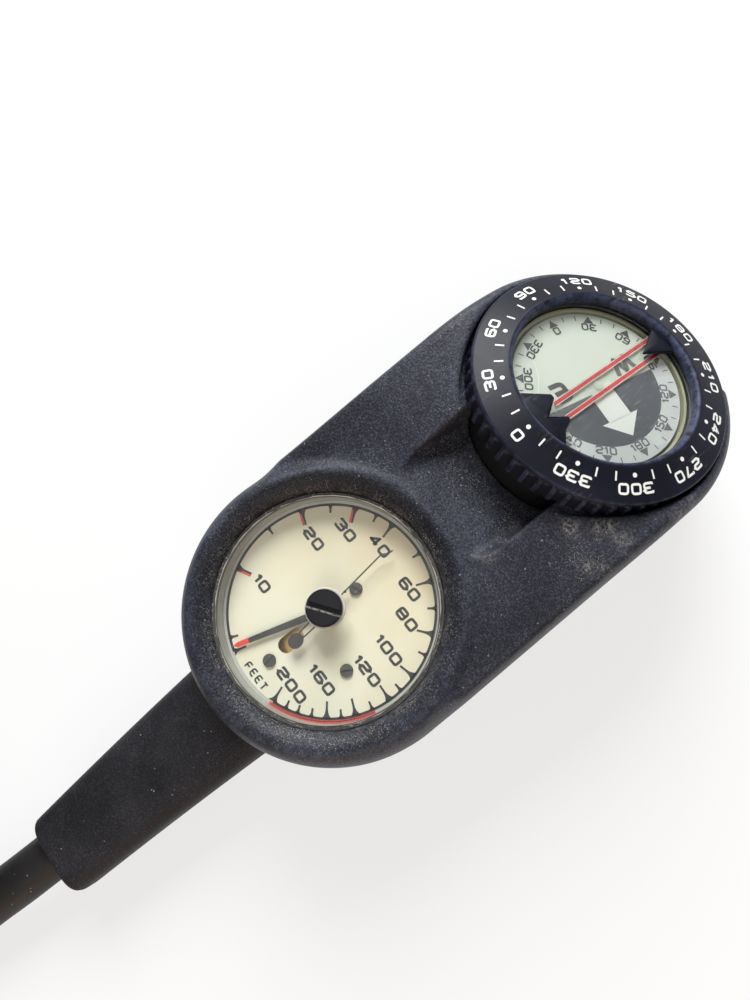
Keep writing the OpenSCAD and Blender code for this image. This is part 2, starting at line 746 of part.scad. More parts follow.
// Block inside the case, thin neck through its wall, threaded stem outside
module pressure_socket() {
    block_y = -18.7;
    block_h = ring_z - 0.1 - top_plate_z + 0.2;
    color([0.72, 0.60, 0.34]) at_pressure_gauge() difference() {
        union() {
            tube_block();
            intersection() {
                translate([-4, -case_in_r, top_plate_z - 0.2]) cube([8, case_in_r + block_y, block_h]);
                translate([0, 0, -20]) cylinder(r = case_in_r - run_gap, h = 40);
            }
            on_stem() translate([0, 0, -block_y + 1]) cylinder(r = stem_neck_r, h = -stem_y + block_y);
            on_stem() translate([0, 0, -stem_y]) cylinder(r = stem_r, h = stem_y - stem_end_y);
        }
        on_stem() translate([0, 0, -block_y + 1]) cylinder(r = 0.5, h = 40);
        on_stem() translate([0, 0, -spool_y - 0.2]) cylinder(r = spool_bore_r, h = 20);
    }
}

module pressure_bourdon_tube() color([0.78, 0.55, 0.35]) at_pressure_gauge() bourdon_tube();

module pressure_needle() color([0.75, 0.12, 0.08]) at_pressure_gauge()
    rotate([0, 0, -pressure_rest_a]) pointer(18, 1.8, 0.8);

module pressure_pinion() color([0.74, 0.62, 0.36]) at_pressure_gauge() pinion();

module pressure_sector() color([0.74, 0.62, 0.36]) at_pressure_gauge() sector();

module pressure_link() color("silver") at_pressure_gauge() link();

// Soft plug that lets leaked gas out of the pressure gauge's case
module blowout_plug() color([0.1, 0.1, 0.1]) at_pressure_gauge()
    translate([14, 12, pressure_back + 0.1]) cylinder(r = 2, h = floor_t - 0.1);

// ---- hose line ----

module seal_groove(y) on_hose_line(y + 0.5) ring(spool_r + 1, spool_r - 2 * ring_sec + 0.03, 1);

spool_seal_y = [-35.5, -41];

module swivel_spool() {
    color([0.80, 0.70, 0.42]) difference() {
        on_hose_line(spool_y) cylinder(r = spool_r, h = spool_l);
        on_hose_line(spool_y + 1) cylinder(r = 0.35, h = spool_l + 2);
        for (y = spool_seal_y) seal_groove(y);
    }
}

module spool_seals() color([0.1, 0.1, 0.1]) for (y = spool_seal_y)
    on_hose_line(y) o_ring(spool_r + 0.03 - ring_sec, ring_sec);

module hose_end_fitting() {
    flange = 1.2;
    color([0.72, 0.72, 0.70]) difference() {
        union() {
            on_hose_line(fit_y) cylinder(r = 5.2, h = flange);
            on_hose_line(fit_y) cylinder(r = 4.2, h = 7);
            on_hose_line(-44) cylinder(r = 6.2, h = 4);
            on_hose_line(ferrule_y) cylinder(r = hose_r - 0.1, h = ferrule_y - fit_end_y);
        }
        on_hose_line(fit_y + 1) cylinder(r = spool_bore_r, h = 8);
        on_hose_line(fit_y + 1) cylinder(r = 0.9, h = 30);
    }
}

module swivel_nut() {
    collar = fit_y - 1.4;
    color([0.70, 0.71, 0.72]) difference() {
        on_hose_line(nut_y) rotate([0, 0, 30])
            cylinder(d = nut_flat / cos(30), h = nut_y - nut_end_y, $fn = 6);
        on_hose_line(nut_y + 1) cylinder(r = stem_r + run_gap, h = nut_y + 1 - collar);
        on_hose_line(nut_y) cylinder(r = 4.3, h = 20);
    }
}

module crimp_ferrule(length) {
    difference() {
        cylinder(r = ferrule_r, h = length);
        translate([0, 0, -1]) cylinder(r = hose_r, h = length + 2);
        for (z = [4 : 3 : length - 3]) translate([0, 0, z]) ring(ferrule_r + 1, ferrule_r - 0.35, 1.2);
    }
}

module hose_ferrule() color([0.72, 0.72, 0.70]) on_hose_line(ferrule_y) crimp_ferrule(ferrule_l);

module hose() color([0.06, 0.06, 0.06]) from_gauge_axis() tube_along(hose_pts, hose_r, 12);

module hose_coil() color([0.06, 0.06, 0.06]) from_gauge_axis() tube_along(coil_pts, hose_r, 6);

module supply_ferrule() color([0.72, 0.72, 0.70]) at_supply_end()
    translate([0, 0, -ferrule_l + 4]) difference() {
        crimp_ferrule(ferrule_l);
        translate([0, 0, ferrule_l - 4]) cylinder(r = hose_r + 0.4, h = 5);
    }

// Hexagon with a parallel thread and a groove for its face seal
module supply_fitting() {
    hex_l = 9;
    color([0.78, 0.79, 0.80]) at_supply_end() difference() {
        union() {
            cylinder(r = hose_r + 0.3, h = 5);
            translate([0, 0, 4]) cylinder(d = 14.3 / cos(30), h = hex_l, $fn = 6);
            translate([0, 0, 4 + hex_l]) cylinder(r = supply_thread_r - 0.9, h = 3);
            translate([0, 0, 4 + hex_l + 2]) cylinder(r = supply_thread_r, h = supply_thread_l);
        }
        translate([0, 0, 3]) cylinder(r = 1.2, h = 40);
    }
}

module supply_seal() color([0.1, 0.1, 0.1]) at_supply_end()
    translate([0, 0, 4 + 9 + 1]) o_ring(supply_thread_r - 0.9 + 0.95, 0.93);

// ---- compass ----

module compass_housing() {
    base_floor = housing_base_z + 2.4;
    color([0.10, 0.10, 0.11]) at_compass() difference() {
        union() {
            translate([0, 0, housing_base_z]) cylinder(r = housing_r, h = housing_l);
            translate([0, 0, shoulder_z - shoulder_h]) cylinder(r = shoulder_r, h = shoulder_h);
            translate([0, 0, shoulder_z - eps]) cylinder(r = neck_r, h = housing_top_z - shoulder_z + eps);
        }
        translate([0, 0, housing_top_z + eps]) cylinder(r = neck_r + 1, h = 5);
        translate([0, 0, ledge_z]) cylinder(r = window_r + run_gap, h = 10);
        translate([0, 0, base_floor]) cylinder(r = chamber_r, h = 40);
        translate([0, 0, housing_base_z - 1]) cylinder(r = recess_r, h = 2.2);
        translate([0, 0, wire_z - 0.4]) ring(neck_r + 1, neck_r - 0.45, 0.8);
        for (a = [0 : 120 : 240]) rotate([0, 0, a])
            translate([10, 0, housing_base_z]) cylinder(r = 1.5, h = 5);
    }
}

module compass_diaphragm() color([0.15, 0.15, 0.16]) at_compass()
    translate([0, 0, housing_base_z + 0.1]) cylinder(r = recess_r - 0.1, h = 1);

module capsule_liner() color([0.80, 0.78, 0.62]) at_compass()
    translate([0, 0, housing_base_z + 2.4]) ring(chamber_r, chamber_r - 0.5, ledge_z - housing_base_z - 2.4);

module pivot_post() {
    foot = housing_base_z + 2.4;
    tip = card_z + 0.1;
    color("gold") at_compass() {
        translate([0, 0, foot]) cylinder(r = 3, h = 1.5);
        translate([0, 0, foot]) cylinder(r = 0.9, h = card_z - 2.2 - foot);
        translate([0, 0, card_z - 2.2]) cylinder(r1 = 0.45, r2 = 0.05, h = tip - card_z + 2.2);
    }
}

module compass_window() color([0.85, 0.87, 0.86, 0.4]) at_compass()
    translate([0, 0, window_z]) cylinder(r = window_r, h = window_t);

module window_seal() color([0.1, 0.1, 0.1]) at_compass()
    translate([0, 0, (ledge_z + window_z) / 2]) o_ring(window_r - 0.6, (window_z - ledge_z) / 2);

// Clear strip under the window, pointed towards the diver
module lubber_plate() {
    w = 2.5;
    color([0.85, 0.87, 0.86, 0.4]) at_compass() translate([0, 0, lubber_z])
        linear_extrude(window_z - lubber_z) polygon([
            [-w, card_r], [w, card_r], [w, 6.5 - card_r], [0, 1.5 - card_r], [-w, 6.5 - card_r]
        ]);
}

module lubber_lines() {
    color([0.85, 0.15, 0.12]) at_compass() translate([0, 0, lubber_z - 0.2]) linear_extrude(0.2)
        for (s = [-1, 1]) translate([s * 1.85 - 0.55, 6.5 - card_r]) square([1.1, 2 * card_r - 6.5]);
}

module compass_card() {
    color([0.88, 0.90, 0.82]) at_compass() translate([0, 0, card_z]) difference() {
        cylinder(r = card_r, h = card_t);
        translate([0, 0, -1]) cylinder(r = 1.2, h = 3);
    }
}

module card_magnet() color([0.3, 0.3, 0.32]) at_compass() translate([0, 0, card_z - 2.2]) ring(6.5, 3, 2.2);

module card_jewel() {
    color([0.7, 0.6, 0.4]) at_compass() difference() {
        translate([0, 0, card_z - 0.8]) cylinder(r = 1.2, h = 1.6);
        translate([0, 0, card_z - 0.8 - eps]) cylinder(r1 = 0.6, r2 = 0.02, h = 1.02);
    }
}

// Profile of the bezel, from the lip over the face and down the grip
bezel_profile = [
    [bezel_open_r, -0.8], [bezel_open_r + 0.35, 0.1], [bezel_open_r + 1, 0.5], [bezel_open_r + 1.6, 0.35],
    [bezel_r - 0.3, bezel_edge_z + 0.3], [bezel_r, bezel_edge_z], [bezel_r, bezel_edge_z - 1],
    [bezel_r - 0.9, bezel_edge_z - 1.6], [bezel_r - 0.9, bezel_edge_z - 2.4],
    [bezel_r - 0.3, bezel_edge_z - 2.9],
    [bezel_r - 0.3, bezel_base_z + 0.5], [bezel_r - 0.8, bezel_base_z], [bezel_bore_r, bezel_base_z],
    [bezel_bore_r, wire_z - 0.5], [bezel_bore_r + 0.5, wire_z - 0.5], [bezel_bore_r + 0.5, wire_z + 0.5],
    [bezel_bore_r, wire_z + 0.5], [bezel_bore_r, lip_z], [bezel_open_r, lip_z]
];

// Sighting notch of two teeth at zero, one pointed tooth opposite,
// drawn in parts of the opening's radius
near_teeth = [
    [-0.358, -0.927], [-0.171, -0.632], [-0.119, -0.632], [0, -0.927], [0.13, -0.653], [0.171, -0.663],
    [0.228, -0.793], [0.358, -0.927], [0.311, -0.979], [0.155, -1.031], [-0.155, -1.031], [-0.311, -0.979]
];
far_tooth = [[0, 0.668], [0.166, 1], [0.078, 1.031], [-0.078, 1.031], [-0.166, 1]];

module bezel_teeth() translate([0, 0, lip_z]) linear_extrude(0.9) {
    polygon(bezel_open_r * near_teeth);
    polygon(bezel_open_r * far_tooth);
}

module compass_bezel() {
    flute_r = 1.6;
    color([0.09, 0.10, 0.15]) at_compass() rotate([0, 0, bezel_turn]) {
        difference() {
            rotate_extrude() polygon(bezel_profile);
            for (i = [0 : flutes - 1]) rotate([0, 0, 360 * i / flutes])
                translate([bezel_r - 0.3 + flute_r - flute_d, 0, bezel_base_z - 1])
                    cylinder(r = flute_r, h = bezel_edge_z - 2 - bezel_base_z + 1, $fn = 24);
        }
        bezel_teeth();
    }
}

module bezel_wire() color("silver") at_compass()
    translate([0, 0, wire_z]) rotate([0, 0, 10]) rotate_extrude(angle = 340)
        translate([neck_r - 0.08, 0]) circle(r = wire_r, $fn = 24);

boot();
depth_case();
depth_diaphragm();
diaphragm_ring();
depth_lens();
depth_rehaut();
depth_dial();
depth_dial_screws();
depth_top_plate();
depth_bottom_plate();
depth_socket();
depth_bourdon_tube();
depth_needle();
depth_pinion();
depth_sector();
depth_link();
reset_knob();
max_hand();
knob_seal();
pressure_case();
pressure_lens();
pressure_rehaut();
pressure_dial();
pressure_dial_screws();
pressure_top_plate();
pressure_bottom_plate();
pressure_socket();
pressure_bourdon_tube();
pressure_needle();
pressure_pinion();
pressure_sector();
pressure_link();
blowout_plug();
swivel_spool();
spool_seals();
hose_end_fitting();
swivel_nut();
hose_ferrule();
hose();
hose_coil();
supply_ferrule();
supply_fitting();
supply_seal();
compass_housing();
compass_diaphragm();
capsule_liner();
pivot_post();
compass_window();
window_seal();
lubber_plate();
lubber_lines();
compass_card();
card_magnet();
card_jewel();
compass_bezel();
bezel_wire();
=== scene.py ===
"""Diving console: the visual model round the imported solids.

A moulded rubber boot holds a depth gauge, a pressure gauge behind it and a
tilted, liquid-filled compass with a turning bezel. The high-pressure hose
leaves through the boot's neck and lies coiled beyond it.

Sizes are in millimetres until a mesh is made. Plan positions inside a class
are measured from that piece's own axis, and a Place turns them into the row
frame, in metres.
"""

import functools
import logging
import math
from collections.abc import Sequence
from dataclasses import dataclass
from enum import Enum
from math import inf

import bmesh
import bpy
import numpy as np
from mathutils import Matrix


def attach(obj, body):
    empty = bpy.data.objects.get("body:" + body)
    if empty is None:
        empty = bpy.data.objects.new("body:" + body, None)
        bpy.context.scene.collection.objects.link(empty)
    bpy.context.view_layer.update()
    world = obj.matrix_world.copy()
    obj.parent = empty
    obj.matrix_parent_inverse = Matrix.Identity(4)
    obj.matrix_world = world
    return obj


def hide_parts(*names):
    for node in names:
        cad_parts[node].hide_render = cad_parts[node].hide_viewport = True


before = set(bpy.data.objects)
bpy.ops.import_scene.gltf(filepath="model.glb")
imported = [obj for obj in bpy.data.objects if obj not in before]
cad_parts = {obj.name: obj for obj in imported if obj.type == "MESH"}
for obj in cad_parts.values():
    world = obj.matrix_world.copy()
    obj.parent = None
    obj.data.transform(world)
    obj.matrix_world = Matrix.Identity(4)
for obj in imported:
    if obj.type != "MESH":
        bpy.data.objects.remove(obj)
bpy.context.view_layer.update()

LOG = logging.getLogger("console")

Array = np.ndarray
Colour = tuple[float, float, float]
Point = tuple[float, float, float]
Flat = tuple[float, float]
Spot = tuple[float, float, float, float]
Socket = bpy.types.NodeSocket

MM = 0.001
GAUGE_Y = -5.33
COMPASS_AT = (0.0, 68.43, 45.8)
COMPASS_TILT = math.radians(23.0)
COS_TILT, SIN_TILT = math.cos(COMPASS_TILT), math.sin(COMPASS_TILT)


# ---- places ----


@dataclass(frozen=True)
class Place:
    """A local frame in the row frame.

    Attributes:
        origin: the frame's origin in the row frame, in millimetres.
        axes: the local x, y and z axes as unit vectors of the row frame.
    """

    origin: Point
    axes: tuple[Point, Point, Point] = ((1, 0, 0), (0, 1, 0), (0, 0, 1))

    def to_row(self, points: Array) -> Array:
        """Row-frame metres: the origin plus each coordinate along its axis."""
        return (np.asarray(self.origin) + np.asarray(points) @ np.asarray(self.axes, float)) * MM


DEPTH = Place((0.0, GAUGE_Y, 37.0))
PRESSURE = Place((0.0, GAUGE_Y, 8.5), ((-1, 0, 0), (0, 1, 0), (0, 0, -1)))
PLAN = Place((0.0, GAUGE_Y, 0.0))
COMPASS = Place(COMPASS_AT, ((1, 0, 0), (0, COS_TILT, -SIN_TILT), (0, SIN_TILT, COS_TILT)))


# ---- meshes ----


def turn(points: Array, angle: float) -> Array:
    """Points turned anticlockwise about z by an angle in radians.

    Args:
        points: by 2 or 3.
        angle: how far they turn.

    Returns:
        The turned points.
    """
    c, s = math.cos(angle), math.sin(angle)
    x, y = points[..., 0], points[..., 1]
    return np.concatenate([np.stack([c * x - s * y, s * x + c * y], -1), points[..., 2:]], -1)


def polar(radius: float | Array, angle: float | Array) -> Array:
    """Plane points (r cos a, r sin a), with the angle in radians."""
    return np.stack(np.broadcast_arrays(radius * np.cos(angle), radius * np.sin(angle)), -1)


def lift(points: Array, height: float | Array) -> Array:
    """Plane points with a height added as z."""
    return np.concatenate([points, np.broadcast_to(height, points.shape[:-1])[..., None]], axis=-1)


def unit(vectors: Array | Point) -> Array:
    """Vectors drawn out to length one along the last axis."""
    return vectors / np.maximum(np.linalg.norm(vectors, axis=-1, keepdims=True), 1e-9)


def whole_turn(steps: int) -> Array:
    """Even angles round a circle, in radians, without the last, which is the first."""
    return np.linspace(0, math.tau, steps, endpoint=False)


def smooth_step(t: Array) -> Array:
    """The cubic that rises from 0 at 0 to 1 at 1, held level outside."""
    t = np.clip(t, 0, 1)
    return t * t * (3 - 2 * t)


def bell(distance: Array, width: float) -> Array:
    """The bell curve exp(-(d / w)^2): 1 in its middle."""
    return np.exp(-((distance / width) ** 2))


def add_object(
    name: str, data: bpy.types.ID, axes: Sequence[Array] = (), at: Point = (0, 0, 0)
) -> bpy.types.Object:
    """Makes an object in the scene.

    Args:
        name: its name.
        data: its mesh, lamp or camera.
        axes: its local x, y and z axes; without them it stays unturned.
        at: its origin, in metres, where axes are given.

    Returns:
        The object.
    """
    made = bpy.data.objects.new(name, data)
    bpy.context.scene.collection.objects.link(made)
    if len(axes):
        pose = np.eye(4)
        pose[:3] = np.column_stack([*axes, at])
        made.matrix_world = Matrix(pose.tolist())
    return made


class Shape:
    """Surface grids in one place, gathered into one mesh."""

    def __init__(self, place: Place) -> None:
        """Starts an empty shape.

        Args:
            place: the local frame that its points are given in.
        """
        self.place = place
        self.points: list[Array] = []
        self.faces: list[tuple[Array, int]] = []
        self.count = 0

    def add(self, points: Array, *groups: tuple[Array, int]) -> "Shape":
        """Adds vertices and the faces that join them.

        Args:
            points: an array whose last axis is x, y and z.
            groups: faces as rows of vertex numbers, each with its material's index.

        Returns:
            The shape itself.
        """
        self.faces += [(faces + self.count, finish) for faces, finish in groups]
        self.points.append(points.reshape(-1, 3))
        self.count += len(self.points[-1])
        return self

    def grid(
        self, points: Array, around: bool = False, closed: bool = False, finish: int = 0
    ) -> "Shape":
        """Adds a grid of points as quads: each face joins four neighbours.

        Args:
            points: an array of rows by columns by 3.
            around: whether the last column joins the first.
            closed: whether the last row joins the first.
            finish: the index of the material.

        Returns:
            The shape itself.
        """
        rows, cols = points.shape[:2]
        i = np.arange(rows if closed else rows - 1)[:, None]
        j = np.arange(cols if around else cols - 1)[None, :]
        i2, j2 = (i + 1) % rows, (j + 1) % cols
        corners = [i * cols + j, i * cols + j2, i2 * cols + j2, i2 * cols + j]
        return self.add(points, (np.stack(corners, axis=-1).reshape(-1, 4), finish))

    def disc(self, ring: Array, flip: bool = False) -> "Shape":
        """Adds a fan from a ring's middle point to the ring.

        Args:
            ring: an array of points by 3.
            flip: whether the fan faces the other way.

        Returns:
            The shape itself.
        """
        n = len(ring)
        j = np.arange(n)
        fan = np.stack([np.full(n, n), j, (j + 1) % n], axis=-1)
        return self.add(np.vstack([ring, ring.mean(axis=0)]), (fan[:, ::-1] if flip else fan, 0))

    def mesh(self, name: str) -> bpy.types.Mesh:
        """Writes the gathered vertices and faces into a new mesh.

        Args:
            name: the mesh's name.

        Returns:
            The mesh, with its material indices set.
        """
        made = bpy.data.meshes.new(name)
        points = self.place.to_row(np.vstack(self.points))
        loops = np.concatenate([faces.ravel() for faces, _ in self.faces])
        sizes = np.concatenate([np.full(len(faces), faces.shape[1]) for faces, _ in self.faces])
        kinds = np.concatenate([np.full(len(faces), finish) for faces, finish in self.faces])
        made.vertices.add(len(points))
        made.loops.add(len(loops))
        made.polygons.add(len(sizes))
        made.vertices.foreach_set("co", points.astype(np.float32).ravel())
        made.loops.foreach_set("vertex_index", loops.astype(np.int32))
        starts = np.concatenate([[0], np.cumsum(sizes)[:-1]])
        made.polygons.foreach_set("loop_start", starts.astype(np.int32))
        made.polygons.foreach_set("material_index", kinds.astype(np.int32))
        made.update(calc_edges=True)
        return made

    def piece(
        self,
        name: str,
        body: str,
        finishes: Sequence["Finish"],
        slot: str,
        smooth: float = 35.0,
        weld: bool = True,
        marks: dict[str, Array] | None = None,
    ) -> bpy.types.Object:
        """Makes the Blender object and lets it ride on a body.

        Args:
            name: the piece's name.
            body: the CAD body it rides on.
            finishes: its materials, in the order of the finish indices.
            slot: the record's material slot; not used.
            smooth: the angle in degrees above which an edge stays sharp.
            weld: whether doubled vertices at seams and poles are merged.
            marks: vertex attributes by name, one number for each vertex.

        Returns:
            The new object.
        """
        mesh = self.mesh(name)
        for mark, values in (marks or {}).items():
            layer = mesh.attributes.new(mark, "FLOAT", "POINT")
            layer.data.foreach_set("value", values.astype(np.float32).ravel())
        if weld:
            close = 1e-7
            whole = bmesh.new()
            whole.from_mesh(mesh)
            bmesh.ops.remove_doubles(whole, verts=whole.verts, dist=close)
            bmesh.ops.dissolve_degenerate(whole, edges=whole.edges, dist=close)
            whole.to_mesh(mesh)
            whole.free()
        mesh.shade_smooth()
        mesh.set_sharp_from_angle(angle=math.radians(smooth))
        for finish in finishes:
            mesh.materials.append(finish.material())
        made = add_object(name, mesh)
        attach(made, body)
        size = (len(mesh.vertices), len(mesh.polygons))
        LOG.info("%s: %d vertices, %d faces, on %s", name, *size, body)
        return made


def revolve(profile: Array, steps: int) -> Array:
    """A profile turned once about z: each point (r, z) goes to (r cos a, r sin a, z).

    Args:
        profile: points by 2, radius and height.
        steps: the number of columns round.

    Returns:
        A grid of profile points by columns by 3.
    """
    return lift(polar(profile[:, 0:1], whole_turn(steps)[None, :]), profile[:, 1:2])


def rounded(path: Array, radius: float, steps: int = 5, closed: bool = False) -> Array:
    """A broken line with each corner turned into a quadratic arc.

    The arc starts and ends at most radius from the corner, or half of the
    shorter side, and its middle control point is the corner.

    Args:
        path: points by any number of coordinates.
        radius: how far from the corner the arc starts.
        steps: points on each arc.
        closed: whether the last point joins the first.

    Returns:
        The points of the rounded line.
    """
    before, after = np.roll(path, 1, axis=0), np.roll(path, -1, axis=0)
    if not closed:
        before, after = path[:-2], path[2:]
        path, ends = path[1:-1], (path[:1], path[-1:])
    if len(path) == 0:
        return np.vstack(ends)
    to_before, to_after = before - path, after - path
    short_b = np.linalg.norm(to_before, axis=1, keepdims=True)
    short_a = np.linalg.norm(to_after, axis=1, keepdims=True)
    cut = np.minimum(radius, 0.5 * np.minimum(short_b, short_a))
    a, b = path + to_before / short_b * cut, path + to_after / short_a * cut
    t = np.linspace(0, 1, steps)[None, :, None]
    arcs = (1 - t) ** 2 * a[:, None] + 2 * t * (1 - t) * path[:, None] + t**2 * b[:, None]
    arcs = arcs.reshape(-1, path.shape[1])
    return arcs if closed else np.vstack([ends[0], arcs, ends[1]])


def ribbon(path: Array, width: float) -> Array:
    """A flat band along a plane line: each point is moved half a width to either side.

    The side direction is the line's local normal, lengthened at a corner by
    one over the cosine of half its turn, but not beyond a sharp corner's.

    Args:
        path: points by 2.
        width: the band's width.

    Returns:
        A grid of points by 2 sides by 2.
    """
    sharpest = 0.3
    steps = unit(np.diff(path, axis=0))
    normals = np.stack([-steps[:, 1], steps[:, 0]], axis=-1)
    side = np.vstack([normals[:1], normals]) + np.vstack([normals, normals[-1:]])
    side /= np.maximum((side * side).sum(axis=1, keepdims=True) / 2, sharpest)
    return np.stack([path - side * width / 2, path + side * width / 2], axis=1)


# ---- materials ----


class Nodes:
    """A node tree with short calls for adding and joining nodes."""

    def __init__(self, tree: bpy.types.NodeTree) -> None:
        """Keeps the tree that nodes are added to."""
        self.tree = tree

    @classmethod
    def bare(cls, owner: bpy.types.Material | bpy.types.World) -> "Nodes":
        """Turns on the nodes of a material or world and empties them.

        Args:
            owner: the material or world.

        Returns:
            Its tree.
        """
        owner.use_nodes = True
        owner.node_tree.nodes.clear()
        return cls(owner.node_tree)

    def join(self, value: object, target: Socket) -> None:
        """Links a socket to an input or sets the input's value.

        Args:
            value: a socket, a number, a vector or a linear colour.
            target: the input.
        """
        if isinstance(value, Socket):
            self.tree.links.new(value, target)
        else:
            target.default_value = (*value[:3], 1.0) if target.type == "RGBA" else value

    def add(self, kind: str, inputs: dict | None = None, **settings: object) -> bpy.types.Node:
        """Adds a node.

        Args:
            kind: the node's type.
            inputs: values or sockets by input name or number.
            settings: the node's own properties.

        Returns:
            The new node.
        """
        node = self.tree.nodes.new(kind)
        for key, value in settings.items():
            setattr(node, key, value)
        for key, value in (inputs or {}).items():
            self.join(value, node.inputs[key])
        return node

    def math(self, kind: str, a: object, b: object = 0.0, c: object = 0.0) -> Socket:
        """The result of one Math node."""
        return self.add("ShaderNodeMath", {0: a, 1: b, 2: c}, operation=kind).outputs[0]

    def times(self, *values: object) -> Socket:
        """The product of two or more values."""
        return functools.reduce(functools.partial(self.math, "MULTIPLY"), values)

    def linear(self, value: Socket, by: object, plus: object) -> Socket:
        """A value times one number plus another."""
        return self.math("MULTIPLY_ADD", value, by, plus)

    def blend(self, mask: object, a: object, b: object) -> Socket:
        """Colour a where the mask is 0 and colour b where it is 1."""
        return self.add("ShaderNodeMix", {0: mask, 6: a, 7: b}, data_type="RGBA").outputs[2]

    def span(self, value: object, low: float, high: float) -> Socket:
        """0 below low, 1 above high and a smooth step between."""
        ends = {0: value, 1: low, 2: high}
        return self.add("ShaderNodeMapRange", ends, interpolation_type="SMOOTHSTEP").outputs[0]

    def noise(self, at: Socket, scale: object, detail: float, rough: float) -> Socket:
        """A noise value at a place."""
        inputs = {"Vector": at, "Scale": scale, "Detail": detail, "Roughness": rough}
        return self.add("ShaderNodeTexNoise", inputs).outputs[0]

    def split(self, at: Socket) -> bpy.types.NodeOutputs:
        """The x, y and z of a place."""
        return self.add("ShaderNodeSeparateXYZ", {0: at}).outputs

    def coordinates(self, origin: Point | None = None) -> Socket:
        """Object coordinates, measured from a point of the row frame if one is given.

        Args:
            origin: the point, in metres.

        Returns:
            The coordinates.
        """
        at = self.add("ShaderNodeTexCoord").outputs["Object"]
        if origin is None:
            return at
        moved = {0: at, 1: tuple(-c for c in origin)}
        return self.add("ShaderNodeMapping", moved, vector_type="POINT").outputs[0]

    def from_axis(self, at: Socket) -> Socket:
        """The distance from the z axis: the root of x squared plus y squared."""
        x, y = self.split(at)[:2]
        return self.math("SQRT", self.math("ADD", self.times(x, x), self.times(y, y)))

    def attribute(self, name: str) -> Socket:
        """The value of one of the mesh's vertex attributes."""
        return self.add("ShaderNodeAttribute", attribute_name=name).outputs["Fac"]

    def effect(self, kind: "Effect", **inputs: object) -> bpy.types.NodeOutputs:
        """The outputs of a shared group, with its inputs given by name."""
        return self.add("ShaderNodeGroup", inputs, node_tree=kind.group()).outputs


def _grain(n: Nodes, at: Socket, scale: Socket) -> Sequence[Socket]:
    """The fine height and the broad tone of a moulded surface.

    Args:
        n: the group's nodes.
        at: the place.
        scale: cells for each metre.

    Returns:
        Height and tone.
    """
    fine = n.noise(at, scale, 2.0, 0.55)
    coarse = n.noise(at, n.times(scale, 0.3), 3.0, 0.6)
    broad = n.noise(at, n.times(scale, 0.03), 4.0, 0.6)
    return n.math("ADD", n.times(fine, 0.6), n.times(coarse, 0.4)), n.span(broad, 0.3, 0.7)


def _dust(n: Nodes, at: Socket, scale: Socket, amount: Socket) -> Sequence[Socket]:
    """A mask of bright grains that lie in patches, one in some of the noise's cells: settled dust,
    and the rubber's painted sparks.

    Args:
        n: the group's nodes.
        at: the place.
        scale: cells for each metre.
        amount: how much of the surface is marked.

    Returns:
        The mask.
    """
    cells = n.add("ShaderNodeTexVoronoi", {"Vector": at, "Scale": scale}).outputs
    pick = n.add("ShaderNodeSeparateColor", {0: cells["Color"]}).outputs[0]
    chosen = n.math("LESS_THAN", pick, n.times(amount, 0.5))
    size = n.math("LESS_THAN", cells["Distance"], 0.33)
    patch = n.span(n.noise(at, n.times(scale, 0.08), 3.0, 0.6), 0.38, 0.62)
    return (n.times(chosen, size, patch),)


def _scuffs(n: Nodes, at: Socket, scale: Socket, amount: Socket) -> Sequence[Socket]:
    """A mask of slanting streaks that lie in patches.

    Args:
        n: the group's nodes.
        at: the place.
        scale: cells for each metre.
        amount: how much of the surface is marked.

    Returns:
        The mask.
    """
    slanted = {0: at, 2: (0.2, 0.1, 0.6), 3: (6.0, 0.8, 1.5)}
    slant = n.add("ShaderNodeMapping", slanted).outputs[0]
    streak = n.span(n.noise(slant, scale, 4.0, 0.65), 0.54, 0.72)
    patch = n.noise(at, n.times(scale, 0.25), 3.0, 0.6)
    low = n.math("SUBTRACT", 0.72, n.times(amount, 0.4))
    where = n.times(n.math("SUBTRACT", patch, low), 6.0)
    return (n.times(streak, n.add("ShaderNodeClamp", {0: where}).outputs[0]),)


def _rings(n: Nodes, at: Socket, pitch: Socket) -> Sequence[Socket]:
    """The height of turned circles about the z axis: a sine of the distance from it."""
    phase = n.math("DIVIDE", n.times(n.from_axis(at), math.tau), pitch)
    return (n.linear(n.math("SINE", phase), 0.5, 0.5),)


class Effect(Enum):
    """The shared shader groups: name, builder, inputs with defaults, and outputs."""

    GRAIN = ("moulded_grain", _grain, {"Scale": 1500.0}, ("Height", "Tone"))
    DUST = ("settled_dust_and_glints", _dust, {"Scale": 1800.0, "Amount": 0.3}, ("Mask",))
    SCUFFS = ("dry_scuffs", _scuffs, {"Scale": 250.0, "Amount": 0.3}, ("Mask",))
    RINGS = ("turned_rings", _rings, {"Pitch": 0.0006}, ("Height",))

    def group(self) -> bpy.types.NodeTree:
        """The effect's node group, made at its first use.

        Returns:
            The group.
        """
        name, build, inputs, outputs = self.value
        known = bpy.data.node_groups.get(name)
        if known:
            return known
        tree = bpy.data.node_groups.new(name, "ShaderNodeTree")
        new_socket = tree.interface.new_socket
        new_socket("Vector", in_out="INPUT", socket_type="NodeSocketVector")
        for label, default in inputs.items():
            socket = new_socket(label, in_out="INPUT", socket_type="NodeSocketFloat")
            socket.default_value = default
        for label in outputs:
            new_socket(label, in_out="OUTPUT", socket_type="NodeSocketFloat")
        n = Nodes(tree)
        start = n.add("NodeGroupInput").outputs
        n.add("NodeGroupOutput", dict(enumerate(build(n, *start[: 1 + len(inputs)]))))
        return tree


ROUGH_SWING = 0.12
SCUFF_SHOWN, SCUFF_ROUGH, HAZE_ROUGH = 0.35, 0.2, 0.3
DUST_SHOWN = 0.5
RING_HEIGHT = 2.0


